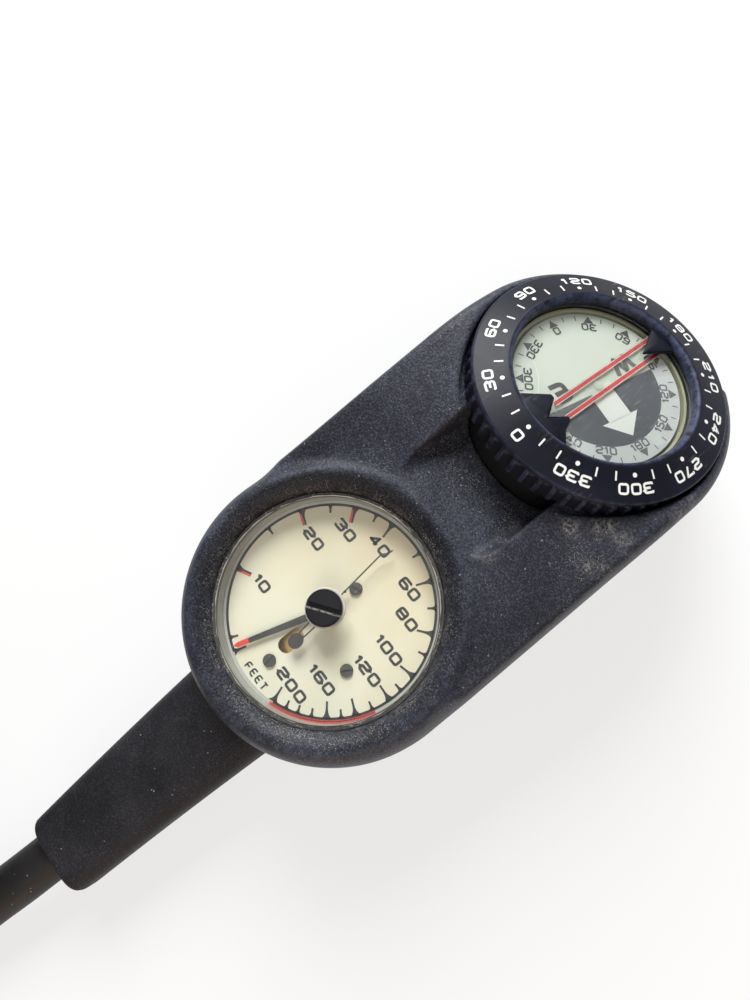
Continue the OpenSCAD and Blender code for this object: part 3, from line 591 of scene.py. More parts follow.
@dataclass(frozen=True)
class Finish:
    """A solid surface with grain, tone, dust and scuffs.

    Attributes:
        name: the material's name.
        colour: the base colour, linear.
        roughness: the base roughness.
        metallic: 0 or 1.
        grain: cells of the grain for each metre.
        depth: the grain's height in metres.
        tone: how far the colour varies over the surface.
        dust: how much settled dust shows.
        scuffs: how much of it is scuffed.
        specular: the shader's specular level.
        coat: the weight of a clear coat.
        rings: the pitch of turned circles in metres, or 0.
        about: the axis of turned circles, bands or a slot in the row frame, in metres.
        pale: the colour of dust and scuffs.
    """

    name: str
    colour: Colour
    roughness: float = 0.5
    metallic: float = 0.0
    grain: float = 1500.0
    depth: float = 0.0
    tone: float = 0.15
    dust: float = 0.0
    scuffs: float = 0.0
    specular: float = 0.5
    coat: float = 0.0
    rings: float = 0.0
    about: Point = (0.0, 0.0, 0.0)
    pale: Colour = (0.42, 0.40, 0.36)

    def material(self) -> bpy.types.Material:
        """The Blender material, made at its first use.

        Returns:
            The material.
        """
        label = f"finish_{self.name}"
        known = bpy.data.materials.get(label)
        if known:
            return known
        made = bpy.data.materials.new(label)
        n = Nodes.bare(made)
        shader = n.add("ShaderNodeBsdfPrincipled")
        for name, value in self.dress(n).items():
            n.join(value, shader.inputs[name])
        n.add("ShaderNodeOutputMaterial", {0: self.surface(n, shader.outputs[0])})
        return made

    def surface(self, n: Nodes, shader: Socket) -> Socket:
        """The shader that goes to the output."""
        return shader

    def colour_at(self, n: Nodes, at: Socket) -> object:
        """The colour before dust and scuffs."""
        return self.colour

    def dress(self, n: Nodes) -> dict[str, object]:
        """Grain, tone, scuffs and dust as inputs of the Principled shader.

        Args:
            n: the material's nodes.

        Returns:
            Values or sockets by the shader's input names.
        """
        at = n.coordinates()
        height, tone = n.effect(Effect.GRAIN, Vector=at, Scale=self.grain)[:2]
        shade = n.linear(tone, 2 * self.tone, 1 - self.tone)
        plain = {"Color": self.colour_at(n, at), "Value": shade}
        colour = n.add("ShaderNodeHueSaturation", plain).outputs[0]
        rough = n.linear(tone, ROUGH_SWING, self.roughness - ROUGH_SWING / 2)
        if self.scuffs:
            streaks = n.effect(Effect.SCUFFS, Vector=at, Amount=self.scuffs)[0]
            colour = n.blend(n.times(streaks, SCUFF_SHOWN), colour, self.pale)
            rough = n.linear(streaks, SCUFF_ROUGH, rough)
        if self.dust:
            grains = n.effect(Effect.DUST, Vector=at, Amount=self.dust)[0]
            colour = n.blend(n.times(grains, DUST_SHOWN), colour, self.pale)
        inputs = {
            "Base Color": colour, "Roughness": rough, "Metallic": self.metallic,
            "Specular IOR Level": self.specular, "Coat Weight": self.coat,
        }
        if self.rings:
            centred = n.coordinates(self.about)
            circles = n.effect(Effect.RINGS, Vector=centred, Pitch=self.rings)[0]
            height = n.linear(circles, RING_HEIGHT, height)
        if self.depth:
            relief = {"Strength": 1.0, "Distance": self.depth, "Height": height}
            inputs["Normal"] = n.add("ShaderNodeBump", relief).outputs[0]
        return inputs


@dataclass(frozen=True)
class Glass(Finish):
    """Clear moulded plastic that lets lamp light through to what is behind it.

    Attributes:
        ior: the index of refraction.
        scratches: cells of the fine scratches for each metre.
    """

    ior: float = 1.49
    scratches: float = 500.0

    def dress(self, n: Nodes) -> dict[str, object]:
        """Full transmission, with a faint haze of fine scratches.

        Args:
            n: the material's nodes.

        Returns:
            Values or sockets by the shader's input names.
        """
        inputs = {"Vector": n.coordinates(), "Scale": self.scratches, "Amount": self.scuffs}
        haze = n.effect(Effect.SCUFFS, **inputs)[0]
        return {
            "Base Color": self.colour,
            "Roughness": n.linear(haze, HAZE_ROUGH, self.roughness),
            "Transmission Weight": 1.0, "IOR": self.ior,
        }

    def surface(self, n: Nodes, shader: Socket) -> Socket:
        """The clear shader, and a plain opening for shadow and diffuse rays.

        Args:
            n: the material's nodes.
            shader: the Principled shader's output.

        Returns:
            The mixed shader.
        """
        rays = n.add("ShaderNodeLightPath").outputs
        through = n.math("MAXIMUM", rays["Is Shadow Ray"], rays["Is Diffuse Ray"])
        opening = n.add("ShaderNodeBsdfTransparent", {0: self.colour}).outputs[0]
        return n.add("ShaderNodeMixShader", {0: through, 1: shader, 2: opening}).outputs[0]


@dataclass(frozen=True)
class Banded(Finish):
    """A finish with a second colour beyond a radius about its axis.

    Attributes:
        band: the second colour.
        reach: the radius in metres beyond which the band starts.
    """

    band: Colour = (1.0, 0.0, 0.0)
    reach: float = 0.0184

    def colour_at(self, n: Nodes, at: Socket) -> object:
        """The plain colour near the axis and the band's beyond its reach."""
        off = n.from_axis(n.coordinates(self.about))
        return n.blend(n.math("GREATER_THAN", off, self.reach), self.colour, self.band)


@dataclass(frozen=True)
class Lines(Finish):
    """Printed lines with pale edges, two strips either side of the row's x = 0.

    Attributes:
        middle: the distance of a strip's middle from x = 0, in metres.
        half: half of the strongly coloured width, in metres.
        edge: the colour of the edges.
    """

    middle: float = 0.00185
    half: float = 0.0004
    edge: Colour = (0.85, 0.72, 0.68)

    def colour_at(self, n: Nodes, at: Socket) -> object:
        """The strip's colour in its middle and the pale one at its edges.

        Args:
            n: the material's nodes.
            at: the place on the surface.

        Returns:
            The colour.
        """
        x = n.math("ABSOLUTE", n.split(at)[0])
        off = n.math("ABSOLUTE", n.math("SUBTRACT", x, self.middle))
        return n.blend(n.math("GREATER_THAN", off, self.half), self.colour, self.edge)


@dataclass(frozen=True)
class Aged(Finish):
    """A pale finish darkened to tan towards +Y by painted shade, and yellowed in soft patches.

    Attributes:
        tan: the colour of the painted shade and of the ageing.
        start: the y where the painted shade starts, in metres.
        end: the y where it is strongest.
        most: how far it goes there.
        patch: how much more it goes in the patches.
        patches: the noise's cells for each metre.
    """

    tan: Colour = (0.78, 0.64, 0.43)
    start: float = -0.028
    end: float = 0.020
    most: float = 0.6
    patch: float = 0.22
    patches: float = 110.0

    def colour_at(self, n: Nodes, at: Socket) -> object:
        """The pale colour, blended to tan along y as painted shade, and by broad noise as ageing.

        Args:
            n: the material's nodes.
            at: the place on the surface.

        Returns:
            The colour.
        """
        # Painted shade: tan towards +Y, where the collar's shadow falls on the dial.
        along = n.times(n.span(n.split(at)[1], self.start, self.end), self.most)
        soft = n.span(n.noise(at, self.patches, 3.0, 0.55), 0.38, 0.72)
        shade_and_age = n.math("ADD", along, n.times(soft, self.patch))
        return n.blend(shade_and_age, self.colour, self.tan)


@dataclass(frozen=True)
class Slotted(Finish):
    """A finish with a pale band along one side of a slot: painted light on the slot's lit side.

    The slot's line passes the finish's axis point, and the band starts at
    that point's height.

    Attributes:
        along: the slot's angle, anticlockwise from +X.
        low: the band's inner distance from the slot's line, in metres.
        high: its outer distance.
        rubbed: the band's colour, the painted light.
        ragged: the cells for each metre of the noise that breaks it up.
    """

    along: float = 0.0
    low: float = 0.0005
    high: float = 0.0009
    rubbed: Colour = (0.30, 0.28, 0.25)
    ragged: float = 1400.0

    def colour_at(self, n: Nodes, at: Socket) -> object:
        """The plain colour, with the painted light in the band, broken up by noise.

        Args:
            n: the material's nodes.
            at: the place on the surface.

        Returns:
            The colour.
        """
        x, y, z = n.split(n.coordinates(self.about))[:3]
        s, c = math.sin(self.along), math.cos(self.along)
        off = n.math("SUBTRACT", n.times(x, s), n.times(y, c))
        outside, inside = n.math("GREATER_THAN", off, self.low), n.math("LESS_THAN", off, self.high)
        ragged = n.span(n.noise(at, self.ragged, 4.0, 0.7), 0.35, 0.6)
        # Painted light: the pale band stands in for the lit side of the slot.
        band = n.times(outside, inside, n.math("GREATER_THAN", z, 0.0), ragged)
        return n.blend(band, self.colour, self.rubbed)


@dataclass(frozen=True)
class Worn(Finish):
    """A finish whose wear attribute bares a paler, smoother surface where it is worn, and paints
    highlights where it marks them.

    Attributes:
        bare: the colour where it is worn, and of the painted highlights.
        strength: how far the wear and the painted highlights show.
        ragged: the cells for each metre of the noise that breaks it up.
    """

    bare: Colour = (0.2, 0.2, 0.22)
    strength: float = 1.0
    ragged: float = 600.0

    def colour_at(self, n: Nodes, at: Socket) -> object:
        """The plain colour, with the bare one where the wear and painted highlights meet the noise.

        Args:
            n: the material's nodes.
            at: the place on the surface.

        Returns:
            The colour.
        """
        ragged = n.span(n.noise(at, self.ragged, 4.0, 0.65), 0.32, 0.66)
        # Wear, and painted highlights where the attribute marks them.
        mask = n.times(n.attribute("wear"), ragged, self.strength)
        return n.blend(mask, self.colour, self.bare)


@dataclass(frozen=True)
class Rubber(Worn):
    """Moulded rubber with painted glints, a darker sleeve, painted shade, settled sand and pale
    rubs.

    The mesh gives four attributes: wear on convex edges, in worn
    places and as painted highlights; sleeve where the rubber is darker
    and as painted shade on the collar's inner wall; sand where silt has settled;
    and rub where it is rubbed pale.

    Attributes:
        glint: the colour of the painted glints, highlights of the grain painted into the colour.
        keen: how much brighter than it the painted sparks are.
        sleeve: the colour of the darker part, and of the painted shade.
        silt: the colour of settled sand.
        fine: the painted glints' cells for each metre.
        sparks: the painted sparks' cells for each metre, and their amount.
        grains: the sand's grains for each metre, and how much more than the sand they are.
        film: the cells for each metre of the sand's film, and how far it shows.
        rubs: the cells for each metre of the rubs' noise.
        shown: how far grains and rubs show.
    """

    glint: Colour = (0.075, 0.083, 0.115)
    keen: float = 1.9
    sleeve: Colour = (0.016, 0.015, 0.0165)
    silt: Colour = (0.34, 0.315, 0.275)
    fine: float = 2400.0
    sparks: Flat = (3100.0, 0.5)
    grains: Flat = (3300.0, 2.0)
    film: Flat = (900.0, 0.12)
    rubs: float = 1500.0
    shown: float = 0.75

    def colour_at(self, n: Nodes, at: Socket) -> object:
        """The worn colour, then the sleeve with the painted shade, the painted glints, the silt and
        the rubs over it.

        Args:
            n: the material's nodes.
            at: the place on the surface.

        Returns:
            The colour.
        """
        sleeve, sand, rub = (n.attribute(name) for name in ("sleeve", "sand", "rub"))
        # The sleeve: the neck's darker rubber, and painted shade on the collar's inner wall.
        colour = n.blend(sleeve, super().colour_at(n, at), self.sleeve)
        bright = n.linear(sleeve, -0.5, 0.75)
        # Painted glints and sparks: highlights of the grain painted into the colour, fewer on the
        # sleeve.
        fine = n.span(n.noise(at, self.fine, 3.0, 0.8), 0.48, 0.62)
        colour = n.blend(n.times(fine, bright), colour, self.glint)
        scale, amount = self.sparks
        sparks = n.effect(Effect.DUST, Vector=at, Scale=scale, Amount=amount)[0]
        painted_spark = tuple(self.keen * c for c in self.glint)
        colour = n.blend(n.times(sparks, bright), colour, painted_spark)
        scale, amount = self.film
        film = n.span(n.noise(at, scale, 4.0, 0.7), 0.4, 0.8)
        colour = n.blend(n.times(sand, film, amount), colour, self.silt)
        scale, amount = self.grains
        grains = n.effect(Effect.DUST, Vector=at, Scale=scale, Amount=n.times(sand, amount))[0]
        colour = n.blend(n.times(grains, self.shown), colour, self.silt)
        ragged = n.span(n.noise(at, self.rubs, 5.0, 0.75), 0.44, 0.62)
        return n.blend(n.times(ragged, rub, self.shown), colour, self.pale)


# ---- finishes of this object ----

GAUGE_AXIS = (0.0, GAUGE_Y * MM, 0.0)

# The blue tint of this rubber is partly its navy-black colour and partly a painted reflection of
# the sky; its sleeve colour is the painted shade on the collar's inner wall.
RUBBER = Rubber(
    "boot_rubber", (0.0188, 0.0198, 0.0275), roughness=0.46, grain=1700.0, depth=0.00018, tone=0.32,
    dust=0.05, scuffs=0.12, specular=0.24, bare=(0.050, 0.054, 0.074), strength=0.8,
    sleeve=(0.0045, 0.004, 0.0045),
)
SLEEVE = Rubber(
    "neck_rubber", (0.0165, 0.0155, 0.017), roughness=0.58, grain=2200.0, depth=0.0001, tone=0.3,
    dust=0.02, specular=0.16, bare=(0.022, 0.022, 0.025), strength=0.8,
)
HOSE_COVER = Finish(
    "hose_cover", (0.014, 0.013, 0.014), roughness=0.52, grain=2200.0, depth=0.00006, tone=0.25,
    dust=0.05, scuffs=0.15, specular=0.24,
)
# Its bare colour is the worn plastic, and the painted bluish sheen on the lip and glints on the
# flutes.
BEZEL_PLASTIC = Worn(
    "bezel_plastic", (0.0085, 0.0095, 0.017), roughness=0.42, grain=1800.0, depth=0.00001,
    tone=0.2, scuffs=0.45, specular=0.2, bare=(0.05, 0.062, 0.115), strength=0.95,
)
MARK_WHITE = Finish("mark_white", (0.83, 0.83, 0.80), tone=0.05, scuffs=0.1)
# The dial's tan towards +Y is painted shade; its soft patches are ageing.
DIAL_LUME = Aged(
    "dial_lume", (0.89, 0.87, 0.73), roughness=0.55, grain=700.0, depth=0.000006, tone=0.03,
    specular=0.3,
)
DIAL_GREY = Finish("dial_grey", (0.52, 0.51, 0.475), tone=0.12)
MARK_PINK = Finish("mark_pink", (0.85, 0.42, 0.33), roughness=0.45, tone=0.06)
# A painted shadow: the dark line where the dial meets the rehaut.
EDGE_SHADOW = Finish("edge_shadow", (0.05, 0.048, 0.045), roughness=0.4, tone=0.2)
EDGE_PALE = Finish("edge_pale", (0.33, 0.325, 0.30), roughness=0.35, scuffs=0.4)
SILT = Finish(
    "settled_silt", (0.045, 0.042, 0.037), roughness=0.8, tone=0.5, grain=3000.0, depth=0.00012,
    dust=1.6, pale=(0.42, 0.37, 0.30),
)
BUSH = Finish("knob_bush", (0.62, 0.60, 0.53), roughness=0.35, tone=0.12, scuffs=0.3)
MARK_BLACK = Finish("mark_black", (0.02, 0.02, 0.02))
MARK_RED = Finish("mark_red", (0.80, 0.11, 0.09), roughness=0.45, tone=0.06)
CARD_LUME = Finish(
    "card_lume", (0.56, 0.58, 0.525), grain=500.0, depth=0.000008, tone=0.05, scuffs=0.25,
    pale=(0.85, 0.87, 0.8),
)
ARROW_PALE = Finish("arrow_pale", (0.68, 0.68, 0.65), tone=0.05, scuffs=0.3)
CARD_DARK = Finish(
    "card_dark", (0.035, 0.037, 0.05), roughness=0.4, tone=0.2, scuffs=0.9, pale=(0.35, 0.36, 0.4)
)
CARD_SILVER = Finish(
    "card_silver", (0.54, 0.54, 0.55), roughness=0.38, tone=0.12, scuffs=0.9,
    pale=(0.8, 0.8, 0.78),
)
CARD_GREY = Finish("card_grey", (0.10, 0.10, 0.11), tone=0.2)
LENS = Glass("lens_clear", (0.96, 0.97, 0.95), roughness=0.02, scuffs=0.2)
WINDOW = Glass("window_clear", (0.95, 0.97, 0.95), roughness=0.02, scuffs=0.45)
CASE = Finish(
    "case_smoke", (0.20, 0.195, 0.175), roughness=0.3, coat=0.3, grain=1200.0, depth=0.00002
)
REHAUT = Finish(
    "rehaut_grey", (0.40, 0.395, 0.37), roughness=0.32, tone=0.1, rings=0.0012,
    about=GAUGE_AXIS, depth=0.00004,
)
LINER = Finish("liner_cream", (0.40, 0.39, 0.26), tone=0.2, grain=900.0)
BRASS = Finish(
    "movement_brass", (0.62, 0.42, 0.17), roughness=0.34, metallic=1.0, tone=0.2, scuffs=0.2
)
BRONZE = Finish("tube_bronze", (0.60, 0.36, 0.18), roughness=0.36, metallic=1.0, tone=0.2)
STEEL = Finish("link_steel", (0.62, 0.62, 0.63), roughness=0.3, metallic=1.0, tone=0.1)
MAGNET = Finish("magnet_iron", (0.16, 0.16, 0.17), metallic=1.0, tone=0.2)
CHROME = Finish(
    "plated_brass", (0.74, 0.74, 0.75), roughness=0.16, metallic=1.0, tone=0.06, scuffs=0.25
)
JEWEL = Finish("jewel_pale", (0.55, 0.55, 0.50), roughness=0.15, tone=0.2, coat=0.5)
SEAL = Finish("seal_rubber", (0.016, 0.016, 0.017), roughness=0.45, tone=0.2)
KNOB_BLACK = Slotted(
    "knob_black", (0.020, 0.020, 0.024), roughness=0.26, tone=0.2, scuffs=0.25, specular=0.6,
    grain=900.0, depth=0.000006, about=(0.0, GAUGE_Y * MM, 0.0437), along=math.radians(35.4),
)
SCREW_BLACK = Finish(
    "screw_black", (0.052, 0.050, 0.045), roughness=0.45, tone=0.4, grain=900.0, depth=0.00002,
    scuffs=1.2, pale=(0.28, 0.27, 0.25),
)
HAND_WIRE = Finish("hand_wire", (0.03, 0.03, 0.03), roughness=0.4, tone=0.1)
NEEDLE_TIP = Banded(
    "needle_tipped", (0.022, 0.022, 0.022), tone=0.1, band=(0.72, 0.06, 0.04), about=GAUGE_AXIS
)
RED_NEEDLE = Finish("needle_red", (0.65, 0.06, 0.04), roughness=0.4, tone=0.08)
HOUSING = Finish(
    "housing_black", (0.012, 0.012, 0.013), roughness=0.45, tone=0.2, depth=0.00003
)
LUBBER = Lines("lubber_red", (0.64, 0.010, 0.014), roughness=0.35, tone=0.05)
CRACK = Finish("crack_pale", (0.80, 0.82, 0.80), roughness=0.3, tone=0.1)


# ---- lettering ----


class Lettering:
    """Wide square characters drawn with one round-cornered stroke.

    Each glyph is a set of broken lines in a box one wide and one high.
    """

    GLYPHS: dict[str, list[list[Flat]]] = {
        "0": [[(0.5, 0), (1, 0), (1, 1), (0, 1), (0, 0), (0.5, 0)]],
        "1": [[(0.28, 0.70), (0.62, 1), (0.62, 0)]],
        "2": [[(0, 0.80), (0, 1), (1, 1), (1, 0.5), (0, 0.5), (0, 0), (1, 0)]],
        "3": [
            [(0, 0.82), (0, 1), (1, 1), (1, 0.5), (0.25, 0.5)],
            [(1, 0.5), (1, 0), (0, 0), (0, 0.18)],
        ],
        "4": [[(1, 0.28), (0, 0.28), (0.72, 1), (0.72, 0)]],
        "5": [[(1, 1), (0, 1), (0, 0.56), (1, 0.56), (1, 0), (0, 0), (0, 0.18)]],
        "6": [[(1, 0.84), (1, 1), (0, 1), (0, 0), (1, 0), (1, 0.54), (0.05, 0.54)]],
        "7": [[(0, 0.82), (0, 1), (1, 1), (0.42, 0)]],
        "8": [[(0.5, 0), (1, 0), (1, 1), (0, 1), (0, 0), (0.5, 0)], [(0, 0.5), (1, 0.5)]],
        "9": [[(0, 0.16), (0, 0), (1, 0), (1, 1), (0, 1), (0, 0.46), (0.95, 0.46)]],
        "E": [[(1, 1), (0, 1), (0, 0), (1, 0)], [(0, 0.5), (0.85, 0.5)]],
        "F": [[(1, 1), (0, 1), (0, 0)], [(0, 0.5), (0.85, 0.5)]],
        "T": [[(0, 1), (1, 1)], [(0.5, 1), (0.5, 0)]],
        "S": [[(1, 0.84), (1, 1), (0, 1), (0, 0.5), (1, 0.5), (1, 0), (0, 0), (0, 0.16)]],
        "W": [[(0, 1), (0.25, 0), (0.5, 0.9), (0.75, 0), (1, 1)]],
        "P": [[(0, 0), (0, 1), (1, 1), (1, 0.46), (0, 0.46)]],
        "I": [[(0.5, 0), (0.5, 1)]],
    }
    NARROW = {"1": 0.35, "I": 0.3}
    SHARP = "W47T"
    ROUNDING, SHARP_ROUNDING = 0.3, 0.01

    def __init__(self, width: float, height: float, stroke: float, gap: float) -> None:
        """Sets the size of the characters.

        Args:
            width: a character's width, from middle to middle of its strokes.
            height: its height, measured so too.
            stroke: the width of the stroke.
            gap: the space between characters.
        """
        self.width, self.height, self.stroke, self.gap = width, height, stroke, gap

    def bands(self, text: str) -> list[Array]:
        """The strokes of a word, centred on the origin.

        Args:
            text: the characters.

        Returns:
            One grid of points by 2 sides by 2 for each stroke.
        """
        widths = [self.width * self.NARROW.get(c, 1.0) for c in text]
        advance = np.cumsum([0.0] + [w + self.stroke + self.gap for w in widths])
        total = advance[-1] - self.stroke - self.gap
        made = []
        for c, w, x in zip(text, widths, advance):
            drawn = (self.width if c == "1" else w, self.height)
            corner_r = self.SHARP_ROUNDING if c in self.SHARP else self.ROUNDING * self.height
            for path in self.GLYPHS[c]:
                line = (np.array(path, float) - 0.5) * drawn + (x + w / 2 - total / 2, 0)
                made.append(ribbon(rounded(line, corner_r), self.stroke))
        return made


class Print:
    """Flat printed marks that lie a hair above a plane or a cone about the z axis.

    The layer may be raised between marks, so that later ones lie over earlier ones.
    """

    THICK = 0.03

    def __init__(
        self, place: Place, level: float = 0.0, slope: float = 0.0, from_r: float = 0.0
    ) -> None:
        """Starts an empty print.

        Args:
            place: the local frame.
            level: the surface's height at from_r.
            slope: how fast it falls outward.
            from_r: the radius that its fall is counted from.
        """
        self.shape = Shape(place)
        self.level, self.slope, self.from_r = level, slope, from_r
        self.layer = 0.0

    def band(self, grid: Array, finish: int = 0) -> None:
        """Lays a plane grid on the surface, turned over if its cells' areas sum below zero.

        Args:
            grid: rows by columns by 2.
            finish: the index of the material.
        """
        across, along = np.diff(grid, axis=1)[:-1], np.diff(grid, axis=0)[:, :-1]
        if (across[..., 0] * along[..., 1] - across[..., 1] * along[..., 0]).sum() < 0:
            grid = grid[:, ::-1]
        z = self.level - self.slope * (np.hypot(grid[..., 0], grid[..., 1]) - self.from_r)
        self.shape.grid(lift(grid, z + self.layer + self.THICK), finish=finish)

    def arc(self, r0: float, r1: float, a0: float, a1: float, finish: int = 0) -> None:
        """Lays a ring sector.

        Args:
            r0: one radius.
            r1: the other.
            a0: one end's angle in degrees.
            a1: the other's.
            finish: the index of the material.
        """
        facet = 1.5
        a = np.radians(np.linspace(a0, a1, max(4, int(abs(a1 - a0) / facet))))
        self.band(polar(np.array([r0, r1]), a[:, None]), finish)

    def dot(self, at: Array, radius: float) -> None:
        """Lays a round dot as a ring that nearly closes on its middle."""
        a = np.linspace(0, math.tau, 15)[:, None]
        self.band(at + polar(np.array([0.001, radius]), a))

    def word(
        self, letters: Lettering, text: str, at: Flat | Array, angle: float = 0.0, finish: int = 0
    ) -> None:
        """Lays a word with its middle at a point.

        Args:
            letters: the size of its characters.
            text: the characters.
            at: the point.
            angle: how far it is turned, in radians.
            finish: the index of the material.
        """
        for band in letters.bands(text):
            self.band(turn(band, angle) + np.asarray(at), finish)

    def tick(
        self, ends: Flat, angle: float, width: float, flare: float = 0.0, finish: int = 0
    ) -> None:
        """Lays a radial tick whose half width grows by the fifth power of the way out.

        Args:
            ends: its inner and outer radius.
            angle: the tick's angle in degrees.
            width: its width at the inner end.
            flare: how much wider it is at the outer end.
            finish: the index of the material.
        """
        t = np.linspace(0, 1, 9)[:, None]
        half = (width + flare * t**5) / 2 * np.array([-1.0, 1.0])
        way = np.broadcast_to(ends[0] + (ends[1] - ends[0]) * t, half.shape)
        self.band(turn(np.stack([way, half], -1), math.radians(angle)), finish)

    def wedge(self, ends: Flat, widths: Flat, angle: float, finish: int = 0) -> None:
        """Lays a straight-sided band outward from the middle.

        Args:
            ends: its inner and outer radius.
            widths: half of its width at each.
            angle: its angle in radians.
            finish: the index of the material.
        """
        grid = np.array([[[r, -half], [r, half]] for r, half in zip(ends, widths)])
        self.band(turn(grid, angle), finish)

    def piece(
        self, name: str, body: str, finishes: Sequence[Finish], slot: str
    ) -> bpy.types.Object:
        """Makes the print's object."""
        return self.shape.piece(name, body, finishes, slot, weld=False)


# ---- studio ----


@dataclass
class Studio:
    """Camera, floor and soft light.

    Attributes:
        eye: where the camera stands, in metres.
        lens: its focal length on a 36 mm sensor.
        right: the way to the picture's right.
        up: about the way up the picture.
        lamps: each lamp's name, place, the y it faces, side, watts and colour.
        aim_z: the height that they face.
        side: half of the floor's side, in metres.
    """

    eye: Point = (0.0237, 0.01557, 0.1953)
    lens: float = 27.04
    right: Point = (0.6175, 0.7749, -0.135)
    up: Point = (-0.7547, 0.632, 0.176)
    lamps: tuple[tuple[str, Point, float, float, float, Colour], ...] = (
        ("key", (-0.60, 0.477, 0.63), 0.02, 0.52, 12.9, (0.98, 0.99, 1.0)),
        ("fill", (0.42, -0.34, 0.66), 0.0, 0.7, 2.7, (1.0, 0.94, 0.88)),
        ("bounce", (0.52, -0.42, 0.14), 0.0, 0.4, 1.2, (1.0, 0.60, 0.36)),
    )
    aim_z: float = 0.03
    side: float = 2.5

    def camera(self) -> None:
        """Puts the camera above the console, turned so that the compass is at the upper right."""
        data = bpy.data.cameras.new("camera")
        data.lens, data.sensor_width, data.sensor_fit = self.lens, 36.0, "AUTO"
        data.clip_start, data.clip_end = 0.005, 20.0
        x = unit(self.right)
        y = unit(np.asarray(self.up) - x * (x @ np.asarray(self.up)))
        made = add_object("camera", data, (x, y, np.cross(x, y)), self.eye)
        bpy.context.scene.camera = made

    def lights(self) -> None:
        """A soft key from the upper left, a warm fill and bounce, and an even pale world."""
        for name, at, aim_y, size, power, colour in self.lamps:
            data = bpy.data.lights.new(name, "AREA")
            data.size, data.energy, data.color = size, power, colour
            z = unit(np.asarray(at) - (0.0, aim_y, self.aim_z))
            x = unit(np.cross((0.0, 1.0, 0.01), z))
            add_object(name, data, (x, np.cross(z, x), z), at)
        world = bpy.context.scene.world = bpy.data.worlds.new("studio")
        n = Nodes.bare(world)
        rays = n.add("ShaderNodeLightPath").outputs
        seen = n.math("MAXIMUM", rays["Is Camera Ray"], rays["Is Transmission Ray"])
        inputs = {0: (1.0, 1.0, 1.0), 1: n.linear(seen, 0.84, 0.16)}
        n.add("ShaderNodeOutputWorld", {0: n.add("ShaderNodeBackground", inputs).outputs[0]})

    def floor(self) -> None:
        """A wide white floor that keeps the object's shadow."""
        mesh = bpy.data.meshes.new("floor")
        ends = (-self.side, self.side)
        corners = [(x, y, -0.0001) for y in ends for x in ends]
        mesh.from_pydata(corners, [], [(0, 1, 3, 2)])
        paper = bpy.data.materials.new("paper_white")
        n = Nodes.bare(paper)
        rays = n.add("ShaderNodeLightPath").outputs
        seen = n.math("MAXIMUM", rays["Is Camera Ray"], rays["Is Glossy Ray"])
        seen = n.times(n.math("MAXIMUM", seen, rays["Is Transmission Ray"]), 0.7)
        matt = n.add("ShaderNodeBsdfDiffuse", {0: (0.86, 0.86, 0.86)}).outputs[0]
        glow = n.add("ShaderNodeEmission", {0: (1.0, 1.0, 1.0), 1: 1.0}).outputs[0]
        mixed = n.add("ShaderNodeMixShader", {0: seen, 1: matt, 2: glow}).outputs[0]
        n.add("ShaderNodeOutputMaterial", {0: mixed})
        mesh.materials.append(paper)
        made = add_object("floor", mesh)

    def build(self) -> None:
        """Sets the view and makes camera, floor and lights."""
        bpy.context.scene.view_settings.view_transform = "Standard"
        self.camera()
        self.floor()
        self.lights()


# ---- hose ----


